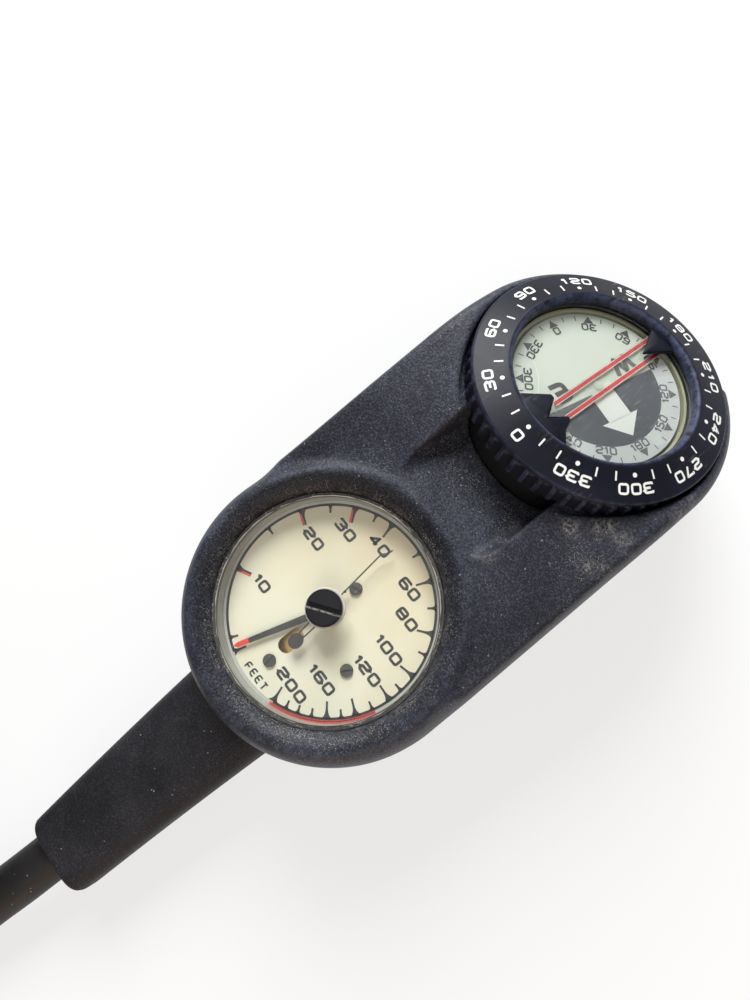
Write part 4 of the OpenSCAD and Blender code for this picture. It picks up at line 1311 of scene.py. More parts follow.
@dataclass
class Hose:
    """The high-pressure hose, from its end fitting to its supply fitting.

    Attributes:
        radius: the cover's radius.
        sides: facets round the cover.
        step: the distance between rings.
        coil_r: the radius of the coil's turns.
        tuck: how far the coil's end is drawn in.
        tuck_over: the share of a turn that the tuck takes.
        turns: the number of turns.
        marks: the coil's points for each turn.
        gap: the gap between one turn and the next.
        climb: the share of a turn that a climb takes.
        climb_at: the turn at which the second turn climbs over the first.
        end_at: the turn at which the end climbs.
        end_rise: how far the end climbs over the turn below it.
        lie_z: the height of the axis where it lies.
        entry: the straight stretch before the coil.
        lead: the straight stretch after it.
        free: the points of the free stretch.
    """

    radius: float = 5.9
    sides: int = 32
    step: float = 3.0
    coil_r: float = 59.0
    tuck: float = 9.0
    tuck_over: float = 0.4
    turns: float = 2.0
    marks: int = 24
    gap: float = 0.8
    climb: float = 0.28
    climb_at: float = 0.65
    end_at: float = 1.65
    end_rise: float = 13.5
    lie_z: float = 5.95
    entry: float = 5.0
    lead: float = 12.0
    free: tuple[Point, ...] = (
        (0, -50, 12), (0, -70, 12), (0, -90, 12), (-0.1, -97, 11.8), (-0.4, -105, 11.3),
        (-0.9, -113, 10.5), (-1.1, -122, 9.3), (-1.1, -132, 7.8), (-1, -141, 6.7),
        (-1, -149, 6.05), (-1, -155, 5.95), (-1, -160, 5.95),
    )

    def route(self) -> Array:
        """The axis as points of the gauges' frame.

        The free stretch is given. The coil's turns have one radius, which
        falls by the tuck at the end. Each turn climbs over the one below by a
        smooth step, and a straight lead ends it.

        Returns:
            Points by 3.
        """
        free = np.array(self.free, float)
        centre = free[-1, :2] - (self.coil_r, self.entry)
        at = np.linspace(0, self.turns, math.ceil(self.marks * self.turns) + 1)
        drawn_in = self.tuck * smooth_step((at - self.turns + self.tuck_over) / self.tuck_over)
        a = -math.tau * at
        over = 2 * self.radius + self.gap
        z = self.lie_z + over * smooth_step((at - self.climb_at) / self.climb)
        z += self.end_rise * smooth_step((at - self.end_at) / self.climb)
        coil = lift(centre + polar(self.coil_r - drawn_in, a), z)
        way = np.array([math.sin(a[-1]), -math.cos(a[-1]), 0.0])
        return np.vstack([free, coil, coil[-1] + self.lead * way])

    def smooth(self, route: Array) -> Array:
        """The route as a Catmull-Rom curve at even steps.

        Between two points the curve is the cubic whose slopes are half of the
        way between each point's neighbours.

        Args:
            route: the points that the curve passes.

        Returns:
            Points by 3, about one step apart.
        """
        p = np.vstack([2 * route[0] - route[1], route, 2 * route[-1] - route[-2]])
        t = np.linspace(0, 1, 12, endpoint=False)[None, :, None]
        p0, p1, p2, p3 = (p[i : len(p) - 3 + i, None, :] for i in range(4))
        fine = 0.5 * (
            2 * p1 + (p2 - p0) * t + (2 * p0 - 5 * p1 + 4 * p2 - p3) * t**2
            + (3 * p1 - p0 - 3 * p2 + p3) * t**3
        )
        fine = np.vstack([fine.reshape(-1, 3), route[-1:]])
        run = np.concatenate([[0], np.cumsum(np.linalg.norm(np.diff(fine, axis=0), axis=1))])
        even = np.linspace(0, run[-1], int(run[-1] / self.step) + 1)
        return np.stack([np.interp(even, run, fine[:, i]) for i in range(3)], -1)

    def build(self) -> None:
        """A tube along the route: each ring stands square to it, with its first spoke level."""
        line = self.smooth(self.route())
        way = unit(np.gradient(line, axis=0))
        side = unit(np.cross((0.0, 0.0, 1.0), way))
        over = np.cross(way, side)
        a = whole_turn(self.sides)[None, :, None]
        spokes = np.cos(a) * side[:, None] + np.sin(a) * over[:, None]
        rings = line[:, None] + self.radius * spokes
        shape = Shape(PLAN).grid(rings, around=True).disc(rings[0], flip=True).disc(rings[-1])
        tube = shape.piece("hose_line", "console", [HOSE_COVER], "hose_rubber", smooth=50)
        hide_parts("hose", "hose_coil")


# ---- CAD nodes that stay ----


@dataclass
class Fittings:
    """Every CAD node that is shown as it is, with its finish.

    Attributes:
        merge: how close vertices are when they are welded, in metres.
        crease: the angle in degrees above which an edge stays sharp.
    """

    merge: float = 1e-6
    crease: float = 30.0

    def nodes(self) -> dict[str, Finish]:
        """The finish of each node. Both gauges have the same parts in the same finishes.

        Returns:
            Finishes by node name.
        """
        shared = (
            (CASE, "case"), (LENS, "lens"), (REHAUT, "rehaut"), (DIAL_LUME, "dial"),
            (SCREW_BLACK, "dial_screws"), (BRONZE, "bourdon_tube"), (STEEL, "link"),
            (BRASS, "top_plate bottom_plate socket pinion sector"),
        )
        single = (
            (SEAL, "depth_diaphragm knob_seal blowout_plug spool_seals supply_seal"),
            (SEAL, "compass_diaphragm window_seal"), (STEEL, "diaphragm_ring bezel_wire"),
            (NEEDLE_TIP, "depth_needle"), (RED_NEEDLE, "pressure_needle"),
            (KNOB_BLACK, "reset_knob"), (HAND_WIRE, "max_hand"),
            (BRASS, "swivel_spool pivot_post"), (HOUSING, "compass_housing"),
            (CHROME, "hose_end_fitting swivel_nut hose_ferrule supply_ferrule supply_fitting"),
            (LINER, "capsule_liner"), (WINDOW, "compass_window lubber_plate"),
            (LUBBER, "lubber_lines"), (CARD_LUME, "compass_card"), (MAGNET, "card_magnet"),
            (JEWEL, "card_jewel"),
        )
        found = {name: finish for finish, names in single for name in names.split()}
        for gauge in ("depth", "pressure"):
            for finish, names in shared:
                found |= {f"{gauge}_{name}": finish for name in names.split()}
        return found

    def build(self) -> None:
        """Gives each node its finish and smooth shading between its sharp edges."""
        for name, finish in self.nodes().items():
            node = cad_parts[name]
            mesh = node.data
            mesh.materials.clear()
            mesh.materials.append(finish.material())
            mesh.polygons.foreach_set("use_smooth", np.ones(len(mesh.polygons), bool))
            node.modifiers.new("weld", "WELD").merge_threshold = self.merge
            split = node.modifiers.new("split", "EDGE_SPLIT")
            split.split_angle = math.radians(self.crease)
            LOG.info("%s: dressed in %s", name, finish.name)


# ---- boot ----


def soft_min(a: Array, b: Array, k: float) -> Array:
    """The smaller of two fields, rounded where they are within k of each other."""
    h = np.clip(0.5 + 0.5 * (b - a) / k, 0, 1)
    return b + (a - b) * h - k * h * (1 - h)


def soft_max(a: Array, b: Array, k: float) -> Array:
    """The larger of two fields, rounded where they are within k of each other."""
    return -soft_min(-a, -b, k)


def corner(a: Array, b: Array, ra: float | Array, rb: float | Array) -> Array:
    """The depth inside two walls whose corner is an ellipse of half axes ra and rb.

    Args:
        a: depth inside one wall.
        b: depth inside the other.
        ra: the ellipse's half axis along a.
        rb: and along b.

    Returns:
        The depth.
    """
    inner = 1 - np.hypot(np.clip(1 - a / ra, 0, None), np.clip(1 - b / rb, 0, None))
    near = (a < ra) & (b < rb)
    return np.where(near, inner * np.minimum(ra, rb), np.minimum(a, b))


def stepped(off: Array, along: Array, steps: Sequence[Point]) -> Array:
    """Depth inside a stepped bore: the largest of its steps' depths.

    Args:
        off: the distance from its axis.
        along: the way along its axis.
        steps: each step's radius and its two ends along the axis.

    Returns:
        The depth, positive inside.
    """
    depths = [np.minimum(r - off, np.minimum(along - a, b - along)) for r, a, b in steps]
    return functools.reduce(np.maximum, depths)


def spots(points: Array, places: Sequence[Spot]) -> Array:
    """A sum of bell curves in plan.

    Args:
        points: where it is taken, by 3.
        places: each curve's x, y, size and strength.

    Returns:
        One value for each point.
    """
    x, y = points[:, 0], points[:, 1]
    return sum(most * bell(np.hypot(x - at_x, y - at_y), size) for at_x, at_y, size, most in places)


def surface_cells(value: Array) -> tuple[Array, Array]:
    """The cells of a grid of values that the zero level crosses.

    Each gets one point, the mean of the crossings on its edges.

    Args:
        value: the field at the grid's points.

    Returns:
        The cells' indices, and their points in grid steps.
    """
    inside = value > 0
    room = np.array(value.shape) - 1
    corners = [(i, j, k) for i in (0, 1) for j in (0, 1) for k in (0, 1)]
    filled = sum(
        inside[tuple(slice(start, start + size) for start, size in zip(c, room))].astype(int)
        for c in corners
    )
    cells = np.argwhere((filled > 0) & (filled < len(corners)))
    total, hits = np.zeros((len(cells), 3)), np.zeros((len(cells), 1))
    for a in corners:
        for axis in range(3):
            if a[axis]:
                continue
            b = tuple(c + (axis == i) for i, c in enumerate(a))
            fa, fb = value[tuple((cells + a).T)], value[tuple((cells + b).T)]
            cross = (fa > 0) != (fb > 0)
            t = np.where(cross, fa / np.where(cross, fa - fb, 1), 0)[:, None]
            total += np.where(cross[:, None], np.array(a) + t * (np.array(b) - a), 0)
            hits += cross[:, None]
    return cells, cells + total / hits


def surface_quads(inside: Array, index: Array) -> Array:
    """One quad for each grid edge that the surface crosses, facing outward.

    Args:
        inside: whether each grid point is inside.
        index: the vertex number of each cell.

    Returns:
        Quads of vertex numbers. Each joins the four cells round its edge.
    """
    room = np.array(index.shape)
    quads = []
    for axis in range(3):
        u, v = (axis + 1) % 3, (axis + 2) % 3
        first = np.moveaxis(inside, axis, 0)
        at = np.argwhere(np.moveaxis(first[:-1] != first[1:], 0, axis))
        at = at[(at[:, u] > 0) & (at[:, v] > 0) & (at[:, u] < room[u]) & (at[:, v] < room[v])]
        du, dv = np.eye(3, dtype=int)[u], np.eye(3, dtype=int)[v]
        quad = np.stack([index[tuple((at - d).T)] for d in (du + dv, dv, 0 * du, du)], -1)
        outward = inside[tuple(at.T)]
        quad[~outward] = quad[~outward][:, ::-1]
        quads.append(quad)
    return np.vstack(quads)


@dataclass
class Boot:
    """The moulded boot as one field: positive inside the rubber, zero on its surface.

    Plan positions are measured from the gauges' axis. The surface is drawn
    out of the field on an even grid and then moved onto its zero level. A
    bore is a set of steps: each has a radius and its two ends. The evenness
    of a slanted wall makes its depth grow as fast as a straight wall's.

    Attributes:
        gauge_r: the outline's radius about the gauges.
        far_r: its radius at the compass end.
        far_y: where that circle's middle is.
        height: the top's height at the gauges.
        base_round: the rounding of the lower edge.
        ramp_rise: how far the top rises towards the compass.
        ramp_to: the y where it ends rising.
        edges: the half axes, across and down, of the top's rounded edge at
            the gauges, at the waist and at the far end.
        waist_to: the y where the waist's edge is reached.
        far_from: the y where the far end's edge starts.
        far_over: over how much y it sets in.
        cradle_drop: how far the cradle's rim lies below the compass's face.
        collar_h: how far the collar stands above the top.
        crest_r: the radius of its crest.
        collar_in: how far it stays inside the outline.
        collar_fall: how far down its outer side is rounded.
        collar_from: the height where it starts.
        collar_full: the height below which it narrows.
        neck_end: where the neck ends.
        neck_from: where it starts to narrow.
        neck_run: how long it narrows.
        neck_root: where it starts, inside the body.
        neck_half: half of its width and of its height where it is widest.
        neck_fall: how much less each is at its end.
        neck_lean: how far its end leans towards +X.
        neck_round: the rounding of its end.
        hose_z: the height of the hose's axis.
        gauge_bore: the steps of the gauges' bore, by height.
        hose_bore: the steps of the hose's bore, towards -Y.
        cradle_bore: the steps of the compass's seat, above its face.
        mouth: the radius, height, flare, evenness and start of the bore's lip.
        foot: the radius, evenness and end of the lower chamfer.
        wall_half: the half angle of the wall's opening at the far end.
        wall_r: the radius beyond which it is cut.
        wall_floor: how far below the compass's face it is cut.
        scoop_y: where the scoop's floor meets the top.
        scoop_w: its width.
        scoop_rise: how far above the top its floor starts.
        scoop_fall: the angle at which it falls.
        scoop_round: the rounding of its sides.
        scoop_ends: its two ends along its floor.
        cut_round: the rounding of the edges of the gauges' bore, its mouth, the foot,
            the cradle, the wall's opening and the scoop.
        collar_fillet: the fillet between body and collar.
        neck_fillet: the fillet between body and neck.
        lip_z: the height above which a vertex is on the collar's inner side.
        silt_ring: the radius and width of the ring of silt at the lens.
        silt_wall: the radius inside which the collar's wall is dusty, and its fade.
        silt_spot: the x, y, size and strength of the patch beside the scoop.
        silt_floor: the two ends of the silt in the scoop, and its fade.
        shade_at: the angle at which the collar's inner wall is darkest.
        shade_wall: the radius inside which it is dark, and its fade.
        shade_neck: the distance along -Y from which the neck is dark, and its fade.
        step: the grid's step.
        reach: the grid's two opposite corners.
        rubs: the middle, size and strength of each pale spot.
        worn: the same for each place where the rubber is worn smooth, and for the painted
            highlights beside the scoop and along the compass's right side.
    """

    gauge_r: float = 32.7
    far_r: float = 31.0
    far_y: float = 69.96
    height: float = 42.5
    base_round: float = 5.0
    ramp_rise: float = 4.5
    ramp_to: float = 56.0
    edges: tuple[Flat, Flat, Flat] = ((8.0, 12.0), (2.4, 8.4), (2.4, 4.4))
    waist_to: float = 12.0
    far_from: float = 44.0
    far_over: float = 22.0
    cradle_drop: float = 3.5
    collar_h: float = 2.5
    crest_r: float = 28.0
    collar_in: float = 0.6
    collar_fall: float = 9.0
    collar_from: float = 30.0
    collar_full: float = 36.0
    neck_end: float = 90.3
    neck_from: float = 26.0
    neck_run: float = 63.3
    neck_root: float = 20.0
    neck_half: Flat = (13.8, 10.5)
    neck_fall: Flat = (3.7, 2.0)
    neck_lean: float = 1.4
    neck_round: float = 1.6
    hose_z: float = 12.0
    gauge_bore: tuple[Point, ...] = ((25.5, 3.7, 40.6), (23.97, 39.0, inf), (24.8, -inf, 6.0))
    hose_bore: tuple[Point, ...] = ((8.4, 22.4, 48.9), (7.35, 46.0, 68.5), (6.15, 48.0, inf))
    cradle_bore: tuple[Point, ...] = ((28.0, -9.4, inf), (24.6, -12.4, inf), (23.6, -22.4, inf))
    mouth: tuple[float, float, float, float, float] = (24.0, 42.35, 1.2, 0.64, 42.2)
    foot: Point = (27.2, 0.7, 2.6)
    wall_half: float = math.radians(57)
    wall_r: float = 25.5
    wall_floor: float = 7.6
    scoop_y: float = 31.0
    scoop_w: float = 26.0
    scoop_rise: float = 1.6
    scoop_fall: float = math.radians(24)
    scoop_round: float = 3.0
    scoop_ends: Flat = (-4.0, 38.0)
    cut_round: tuple[float, ...] = (0.5, 1.6, 0.8, 0.7, 0.8, 0.55)
    collar_fillet: float = 1.4
    neck_fillet: float = 1.2
    lip_z: float = 40.0
    silt_ring: Flat = (24.9, 0.9)
    silt_wall: Flat = (28.6, 1.5)
    silt_spot: Spot = (24.5, 45.5, 3.5, 0.5)
    silt_floor: Point = (33.0, 60.0, 6.0)
    shade_at: float = math.radians(135)
    shade_wall: Flat = (29.2, 1.8)
    shade_neck: Flat = (27.0, 9.0)
    step: float = 0.75
    reach: tuple[Point, Point] = ((-36.0, -93.0, -1.5), (36.0, 102.5, 60.0))
    rubs: tuple[Spot, ...] = (
        (18.8, 48.1, 1.7, 0.9), (22.6, 52.9, 1.9, 1.0), (27.3, 53.9, 1.7, 0.5),
        (26.2, 45.4, 1.3, 0.7), (29.0, 47.6, 1.3, 0.5), (30.4, 66.2, 1.6, 0.6),
        (29.5, 70.0, 1.3, 0.5), (13.2, 32.3, 1.3, 0.5), (12.4, 37.0, 0.8, 0.5),
        (11.4, 41.0, 0.8, 0.4), (10.6, 45.0, 0.8, 0.4), (4.0, -88.0, 3.0, 0.2),
    )
    # Worn places; beside the scoop and along the compass's right side they are painted highlights.
    worn: tuple[Spot, ...] = (
        (20.5, 52.0, 6.0, 0.8), (27.5, 62.0, 6.0, 0.8), (11.0, 28.5, 5.0, 0.6),
        (17.0, 40.0, 4.0, 0.3), (3.0, 31.0, 6.0, 0.5), (-8.0, 31.0, 5.0, 0.3),
        (6.0, 36.5, 4.0, 0.7), (28.5, 69.0, 5.0, 0.8),
    )

    def outline(self, x: Array, y: Array) -> Array:
        """Depth inside the plan outline: two circles and their common tangents.

        Args:
            x: the points' coordinates across.
            y: along the boot.

        Returns:
            The depth.
        """
        px = np.abs(x)
        b = (self.gauge_r - self.far_r) / self.far_y
        a = math.sqrt(1 - b * b)
        k = -b * px + a * y
        low = np.hypot(px, y) - self.gauge_r
        high = np.hypot(px, y - self.far_y) - self.far_r
        flat = a * px + b * y - self.gauge_r
        return -np.where(k < 0, low, np.where(k > a * self.far_y, high, flat))

    def top(self, y: Array) -> tuple[Array, Array, Array]:
        """Height of the top, and the half axes of its rounded edge, along the boot.

        Args:
            y: along the boot.

        Returns:
            The height, and the half axes across and down.
        """
        back = y - (COMPASS_AT[1] - GAUGE_Y)
        cradle = COMPASS_AT[2] - (self.cradle_drop + back * SIN_TILT) / COS_TILT
        ramp = self.height + self.ramp_rise * smooth_step(y / self.ramp_to)
        waist = smooth_step(y / self.waist_to)
        far = smooth_step((y - self.far_from) / self.far_over)
        across, down = (a + (b - a) * waist + (c - b) * far for a, b, c in zip(*self.edges))
        return soft_min(ramp, cradle, 4.0), across, down

    def body(self, x: Array, y: Array, z: Array) -> Array:
        """Depth inside the body: the outline between its rounded lower and upper edge.

        Args:
            x: the points' coordinates across.
            y: along the boot.
            z: up.

        Returns:
            The depth.
        """
        inside = self.outline(x, y)
        top, across, down = self.top(y)
        under = corner(inside, z, self.base_round, self.base_round)
        return np.minimum(under, corner(inside, top - z, across, down))

    def collar(self, x: Array, y: Array, z: Array) -> Array:
        """Depth inside the collar round the depth gauge, which narrows downward.

        Args:
            x: the points' coordinates across.
            y: along the boot.
            z: up.

        Returns:
            The depth.
        """
        outer = self.gauge_r - self.collar_in
        crest = self.height + self.collar_h - z
        ring = corner(outer - np.hypot(x, y), crest, outer - self.crest_r, self.collar_fall)
        ring = ring - 0.25 * np.clip(self.collar_full - z, 0, None)
        return np.minimum(ring, z - self.collar_from)

    def neck(self, x: Array, y: Array, z: Array) -> Array:
        """Depth inside the neck: sections |x/w|^4 + |z/h|^4 = 1 that narrow and lean.

        Args:
            x: the points' coordinates across.
            y: along the boot.
            z: up.

        Returns:
            The depth.
        """
        t = (-y - self.neck_from) / self.neck_run
        w, h = (half - fall * t for half, fall in zip(self.neck_half, self.neck_fall))
        q = np.abs((x - self.neck_lean * t * t) / w) ** 4 + np.abs((z - self.hose_z) / h) ** 4
        wall = (1 - q**0.25) * np.minimum(w, h)
        neck = corner(wall, y + self.neck_end, self.neck_round, self.neck_round)
        return np.minimum(neck, -self.neck_root - y)

    def hollows(self, x: Array, y: Array, z: Array) -> list[tuple[Array, float]]:
        """Each cut with the rounding of its edge.

        Args:
            x: coordinates of the points.
            y: the same.
            z: the same.

        Returns:
            Fields that are positive inside the cut, and roundings.
        """
        r = np.hypot(x, y)
        hose = stepped(np.hypot(x, z - self.hose_z), -y, self.hose_bore)
        gauge = np.maximum(stepped(r, z, self.gauge_bore), hose)
        radius, level, flare, even, start = self.mouth
        mouth = np.minimum((radius + (z - level) * flare - r) * even, z - start)
        radius, even, end = self.foot
        foot = np.minimum((radius - z - r) * even, end - z)
        back, up = y - (COMPASS_AT[1] - GAUGE_Y), z - COMPASS_AT[2]
        u, v = back * COS_TILT - up * SIN_TILT, back * SIN_TILT + up * COS_TILT
        off = np.hypot(x, u)
        cradle = stepped(off, v, self.cradle_bore)
        fan = u * math.cos(self.wall_half) - np.abs(x) * math.sin(self.wall_half)
        wall = np.minimum(np.minimum(v + self.wall_floor, fan), off - self.wall_r)
        c, s = math.cos(self.scoop_fall), math.sin(self.scoop_fall)
        along, above = y - self.scoop_y, z - self.height - self.scoop_rise
        floor, out = along * s + above * c, along * c - above * s
        side = self.scoop_w / 2 - np.abs(x)
        scoop = corner(floor, side, self.scoop_round, self.scoop_round)
        near, far = self.scoop_ends
        scoop = np.minimum(scoop, np.minimum(out - near, far - out))
        cuts = (gauge, mouth, foot, cradle, wall, scoop)
        return list(zip(cuts, self.cut_round))

    def field(self, p: Array) -> Array:
        """The rubber's field at points: the solids with fillets, less each hollow.

        Args:
            p: the points, by 3.

        Returns:
            The field.
        """
        x, y, z = p[..., 0], p[..., 1], p[..., 2]
        value = soft_max(self.body(x, y, z), self.collar(x, y, z), self.collar_fillet)
        value = soft_max(value, self.neck(x, y, z), self.neck_fillet)
        for cut, k in self.hollows(x, y, z):
            value = soft_min(value, -cut, k)
        return value

    def slope(self, p: Array, h: float = 0.05) -> Array:
        """The field's gradient by central differences."""
        steps = np.eye(3) * h
        return np.stack([(self.field(p + s) - self.field(p - s)) / (2 * h) for s in steps], -1)

    def net(self) -> tuple[Array, Array]:
        """The surface as quads, with its vertices moved along the gradient onto the zero level.

        Returns:
            The vertices, and the quads as indices.
        """
        low, high = self.reach
        axes = [np.arange(a, b, self.step) for a, b in zip(low, high)]
        value = self.field(np.stack(np.meshgrid(*axes, indexing="ij"), -1))
        cells, points = surface_cells(value)
        points = np.array(low) + points * self.step
        index = np.full(np.array(value.shape) - 1, -1)
        index[tuple(cells.T)] = np.arange(len(cells))
        rounds, flattest, most = 4, 0.05, 0.3
        for _ in range(rounds):
            g = self.slope(points)
            steep = np.maximum((g * g).sum(1, keepdims=True), flattest)
            points = points - np.clip(self.field(points)[:, None] * g / steep, -most, most)
        return points, surface_quads(value > 0, index)

    def wear(self, p: Array) -> Array:
        """Where hands and rocks rub, in the worn places and on convex edges, with painted
        highlights in the places beside the scoop and along the compass's right side.

        An edge is where the field, a little inside the surface, is less deep
        than it would be under a flat wall.

        Args:
            p: the vertices.

        Returns:
            0 to 1 for each vertex.
        """
        probe, flat, gain = 1.2, 1.15, 1.6
        normal = -unit(self.slope(p))
        deep = self.field(p - probe * normal)
        edge = np.clip((flat - deep) * gain, 0, 1) * (normal[:, 2] > -0.3)
        # Convex edges and worn places, with the painted highlights among them.
        return np.clip(edge + spots(p, self.worn) * (p[:, 2] > 28), 0, 1)

    def sand(self, p: Array) -> Array:
        """Where silt settles: at the lens, on the collar's wall, in the scoop and its corners.

        Args:
            p: the vertices.

        Returns:
            0 to 1 for each vertex.
        """
        x, y, z = p[:, 0], p[:, 1], p[:, 2]
        r, half = np.hypot(x, y), self.scoop_w / 2
        wall_r, wall_fade = self.silt_wall
        near, far, fade = self.silt_floor
        right = 0.03 + 0.4 * np.clip(np.cos(np.arctan2(y, x) - 0.1), 0, 1)
        wall = right * smooth_step((wall_r - r) / wall_fade)
        ring = bell(r - self.silt_ring[0], self.silt_ring[1])
        spot = spots(p, (self.silt_spot,)) * (z > 30)
        floor = smooth_step((half + 0.8 - np.abs(x)) / 1.5) * (z > 20)
        floor = floor * smooth_step((y - near) / fade) * smooth_step((far - y) / fade)
        side = bell(np.abs(x) - half + 1, 2.2)
        sand = (ring + wall) * (z > self.lip_z) + spot + floor * (0.42 + 0.35 * side)
        return np.clip(sand, 0, 1)

    def darkness(self, p: Array) -> tuple[Array, Array]:
        """Where the rubber is darker: the neck's darker rubber, and painted shade on the collar's
        inner wall.

        Args:
            p: the vertices.

        Returns:
            0 to 1 for each vertex, on the neck, and as painted shade on the collar's inner wall.
        """
        r = np.hypot(p[:, 0], p[:, 1])
        start, fade = self.shade_neck
        neck = smooth_step((-p[:, 1] - start) / fade) * (r > self.far_r)
        # Painted shade on the collar's inner wall, darkest on the side away from the key light.
        shaded = np.clip(np.cos(np.arctan2(p[:, 1], p[:, 0]) - self.shade_at), 0, 1)
        wall_r, fade = self.shade_wall
        wall = (0.3 + 0.65 * shaded) * smooth_step((wall_r - r) / fade)
        return neck, wall * (p[:, 2] > self.lip_z)

    def build(self) -> None:
        """Makes the boot's piece. Its neck has a finish of its own."""
        p, quads = self.net()
        neck, wall = self.darkness(p)
        dark = neck[quads].mean(axis=1) > 0.5
        # The sleeve mark holds the neck's darker rubber and the painted shade on the collar's inner
        # wall.
        marks = {
            "wear": self.wear(p), "sleeve": np.maximum(neck, wall), "sand": self.sand(p),
            "rub": np.clip(spots(p, self.rubs), 0, 1) * (p[:, 2] > 25),
        }
        shape = Shape(PLAN).add(p, (quads[~dark], 0), (quads[dark], 1))
        boot = shape.piece(
            "boot_shell", "console", [RUBBER, SLEEVE], "boot_rubber", smooth=70, weld=False,
            marks=marks,
        )
        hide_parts("boot")


# ---- gauges ----


@dataclass
class DepthGauge:
    """The depth dial's print and the parts that stand on its lens.

    Attributes:
        circle_r: the radius where the ticks end.
        rim_r: the print's outer radius.
        zero: the bearing of the scale's start, in degrees clockwise from +Y.
        sweep: how far the scale turns.
        ticks: each tick's bearing by its depth in feet.
        long: the depths whose tick is long.
        inner: where a long tick starts, a short one, and the one at 0.
        flare: how much a long tick widens outward, and a short one.
        tick_w: a tick's width at its inner end, and a red mark's.
        red: the depths whose tick has a red mark beside it.
        band: the bearings between which the red band runs.
        numbers: each number with its middle.
        feet: the unit word's middle.
        silt: the section of the silt that lies round the lens.
        bush: the section of the reset knob's bush.
        lens_z: the height of the lens's face.
        bevel: the radii of the painted shadow line at the dial's edge, and then of the lens's pale
            edge.
    """

    circle_r: float = 22.45
    rim_r: float = 23.34
    zero: float = 195.3
    sweep: float = 325.1
    ticks: tuple[tuple[int, float], ...] = (
        (0, 195.3), (5, 203.2), (10, 242.4), (15, 270.4), (20, 291.8), (25, 308.3), (30, 322.7),
        (35, 335.2), (40, 345.5), (50, 7.4), (60, 23.7), (70, 38.4), (80, 52.1), (90, 63.8),
        (100, 76.6), (110, 86.4), (120, 94.2), (130, 104.5), (140, 113.9), (150, 121.7),
        (160, 129.7), (170, 138.0), (180, 145.7), (190, 152.6), (200, 160.4),
    )
    long: tuple[int, ...] = (10, 20, 30, 40, 60, 80, 100, 120, 140, 160, 200)
    inner: Point = (18.9, 20.6, 19.6)
    flare: Flat = (2.0, 1.5)
    tick_w: Flat = (0.44, 0.5)
    red: tuple[int, ...] = (10, 20, 30)
    band: Flat = (103.5, 162.0)
    numbers: tuple[tuple[str, float, float], ...] = (
        ("10", -13.61, -8.19), ("20", -14.06, 6.46), ("30", -11.08, 13.02), ("40", -3.78, 16.61),
        ("60", 7.36, 15.78), ("80", 11.85, 11.4), ("100", 14.39, 4.51), ("120", 14.88, -1.67),
        ("160", 10.43, -10.29), ("200", 7.31, -16.06),
    )
    feet: Flat = (1.1, -20.9)
    silt: tuple[Flat, ...] = (
        (24.1, 5.1), (24.15, 5.5), (24.02, 5.42), (23.85, 5.27), (23.7, 5.22), (23.7, 5.1),
    )
    bush: tuple[Flat, ...] = ((1.2, 5.95), (4.15, 5.95), (4.3, 5.75), (4.3, 5.2), (1.2, 5.2))
    lens_z: float = 5.2
    bevel: Point = (23.3, 23.48, 23.8)

    def scale(self) -> None:
        """Prints the circle, the flared ticks, the red marks and the numbers."""
        black, red, grey, pink = range(4)
        ink = Print(DEPTH)
        ink.arc(self.circle_r + 0.1, self.rim_r, -90, 270, grey)
        ink.layer = 0.015
        start = 90 - self.zero
        ink.arc(self.circle_r - 0.3, self.circle_r + 0.26, start, start - self.sweep, black)
        width, red_w = self.tick_w
        for depth, bearing in self.ticks:
            short = depth not in self.long
            inner = self.inner[short if depth else 2]
            a = 90 - bearing
            ink.tick((inner, self.circle_r), a, width, self.flare[short], black)
            if depth in self.red:
                ink.tick((inner, self.circle_r + 0.1), a + 1.35, red_w, finish=red)
        near, far = (90 - bearing for bearing in self.band)
        ink.arc(self.circle_r + 0.24, self.rim_r, near, far, red)
        ink.arc(self.circle_r + 0.42, self.circle_r + 0.62, near - 0.5, far + 1, pink)
        digits = Lettering(1.95, 1.85, 0.58, 0.42)
        for text, x, y in self.numbers:
            ink.word(digits, text, (x, y))
        ink.word(Lettering(1.05, 1.5, 0.36, 0.38), "FEET", self.feet)
        inks = [MARK_BLACK, MARK_RED, DIAL_GREY, MARK_PINK]
        ink.piece("depth_scale", "console", inks, "dial_cream")

    def lip(self) -> None:
        """Silt round the lens, the painted shadow line and pale edge at the lens, and the bush
        under the reset knob.

        Silt and bush are turned profiles. The silt's inner radius shrinks by a
        sum of four sines of the angle, and by more on the +X side.
        """
        silt = np.array(self.silt)
        a = whole_turn(240)
        grid = revolve(silt, len(a))
        uneven = np.sin(5 * a) + np.sin(9 * a + 1.0) + np.sin(23 * a + 2.0) + np.sin(41 * a)
        inward = 0.11 + 0.06 * uneven + 0.14 * np.clip(np.cos(a + 0.6), 0, 1)
        share = np.clip((silt[0, 0] - silt[:, 0]) / 0.4, 0, 1)[:, None] * np.clip(inward, 0, None)
        grid[..., :2] *= ((23.9 - share) / 23.9)[..., None]
        shape = Shape(DEPTH).grid(grid, around=True, closed=True)
        shape.piece("lens_silt", "console", [SILT], "boot_rubber", smooth=60)
        # A painted shadow line at the dial's edge, then the lens's pale edge.
        edge = Print(DEPTH, self.lens_z)
        for i, (r0, r1) in enumerate(zip(self.bevel, self.bevel[1:])):
            edge.arc(r0, r1, 0, 360, finish=i)
        edge.piece("lens_edge", "console", [EDGE_SHADOW, EDGE_PALE], "case_plastic")
        bush = revolve(np.array(self.bush), 72)
        shape = Shape(DEPTH).grid(bush, around=True, closed=True)
        shape.piece("knob_bush", "console", [BUSH], "case_plastic", smooth=30)

    def build(self) -> None:
        """Makes every piece of the depth gauge."""
        self.scale()
        self.lip()


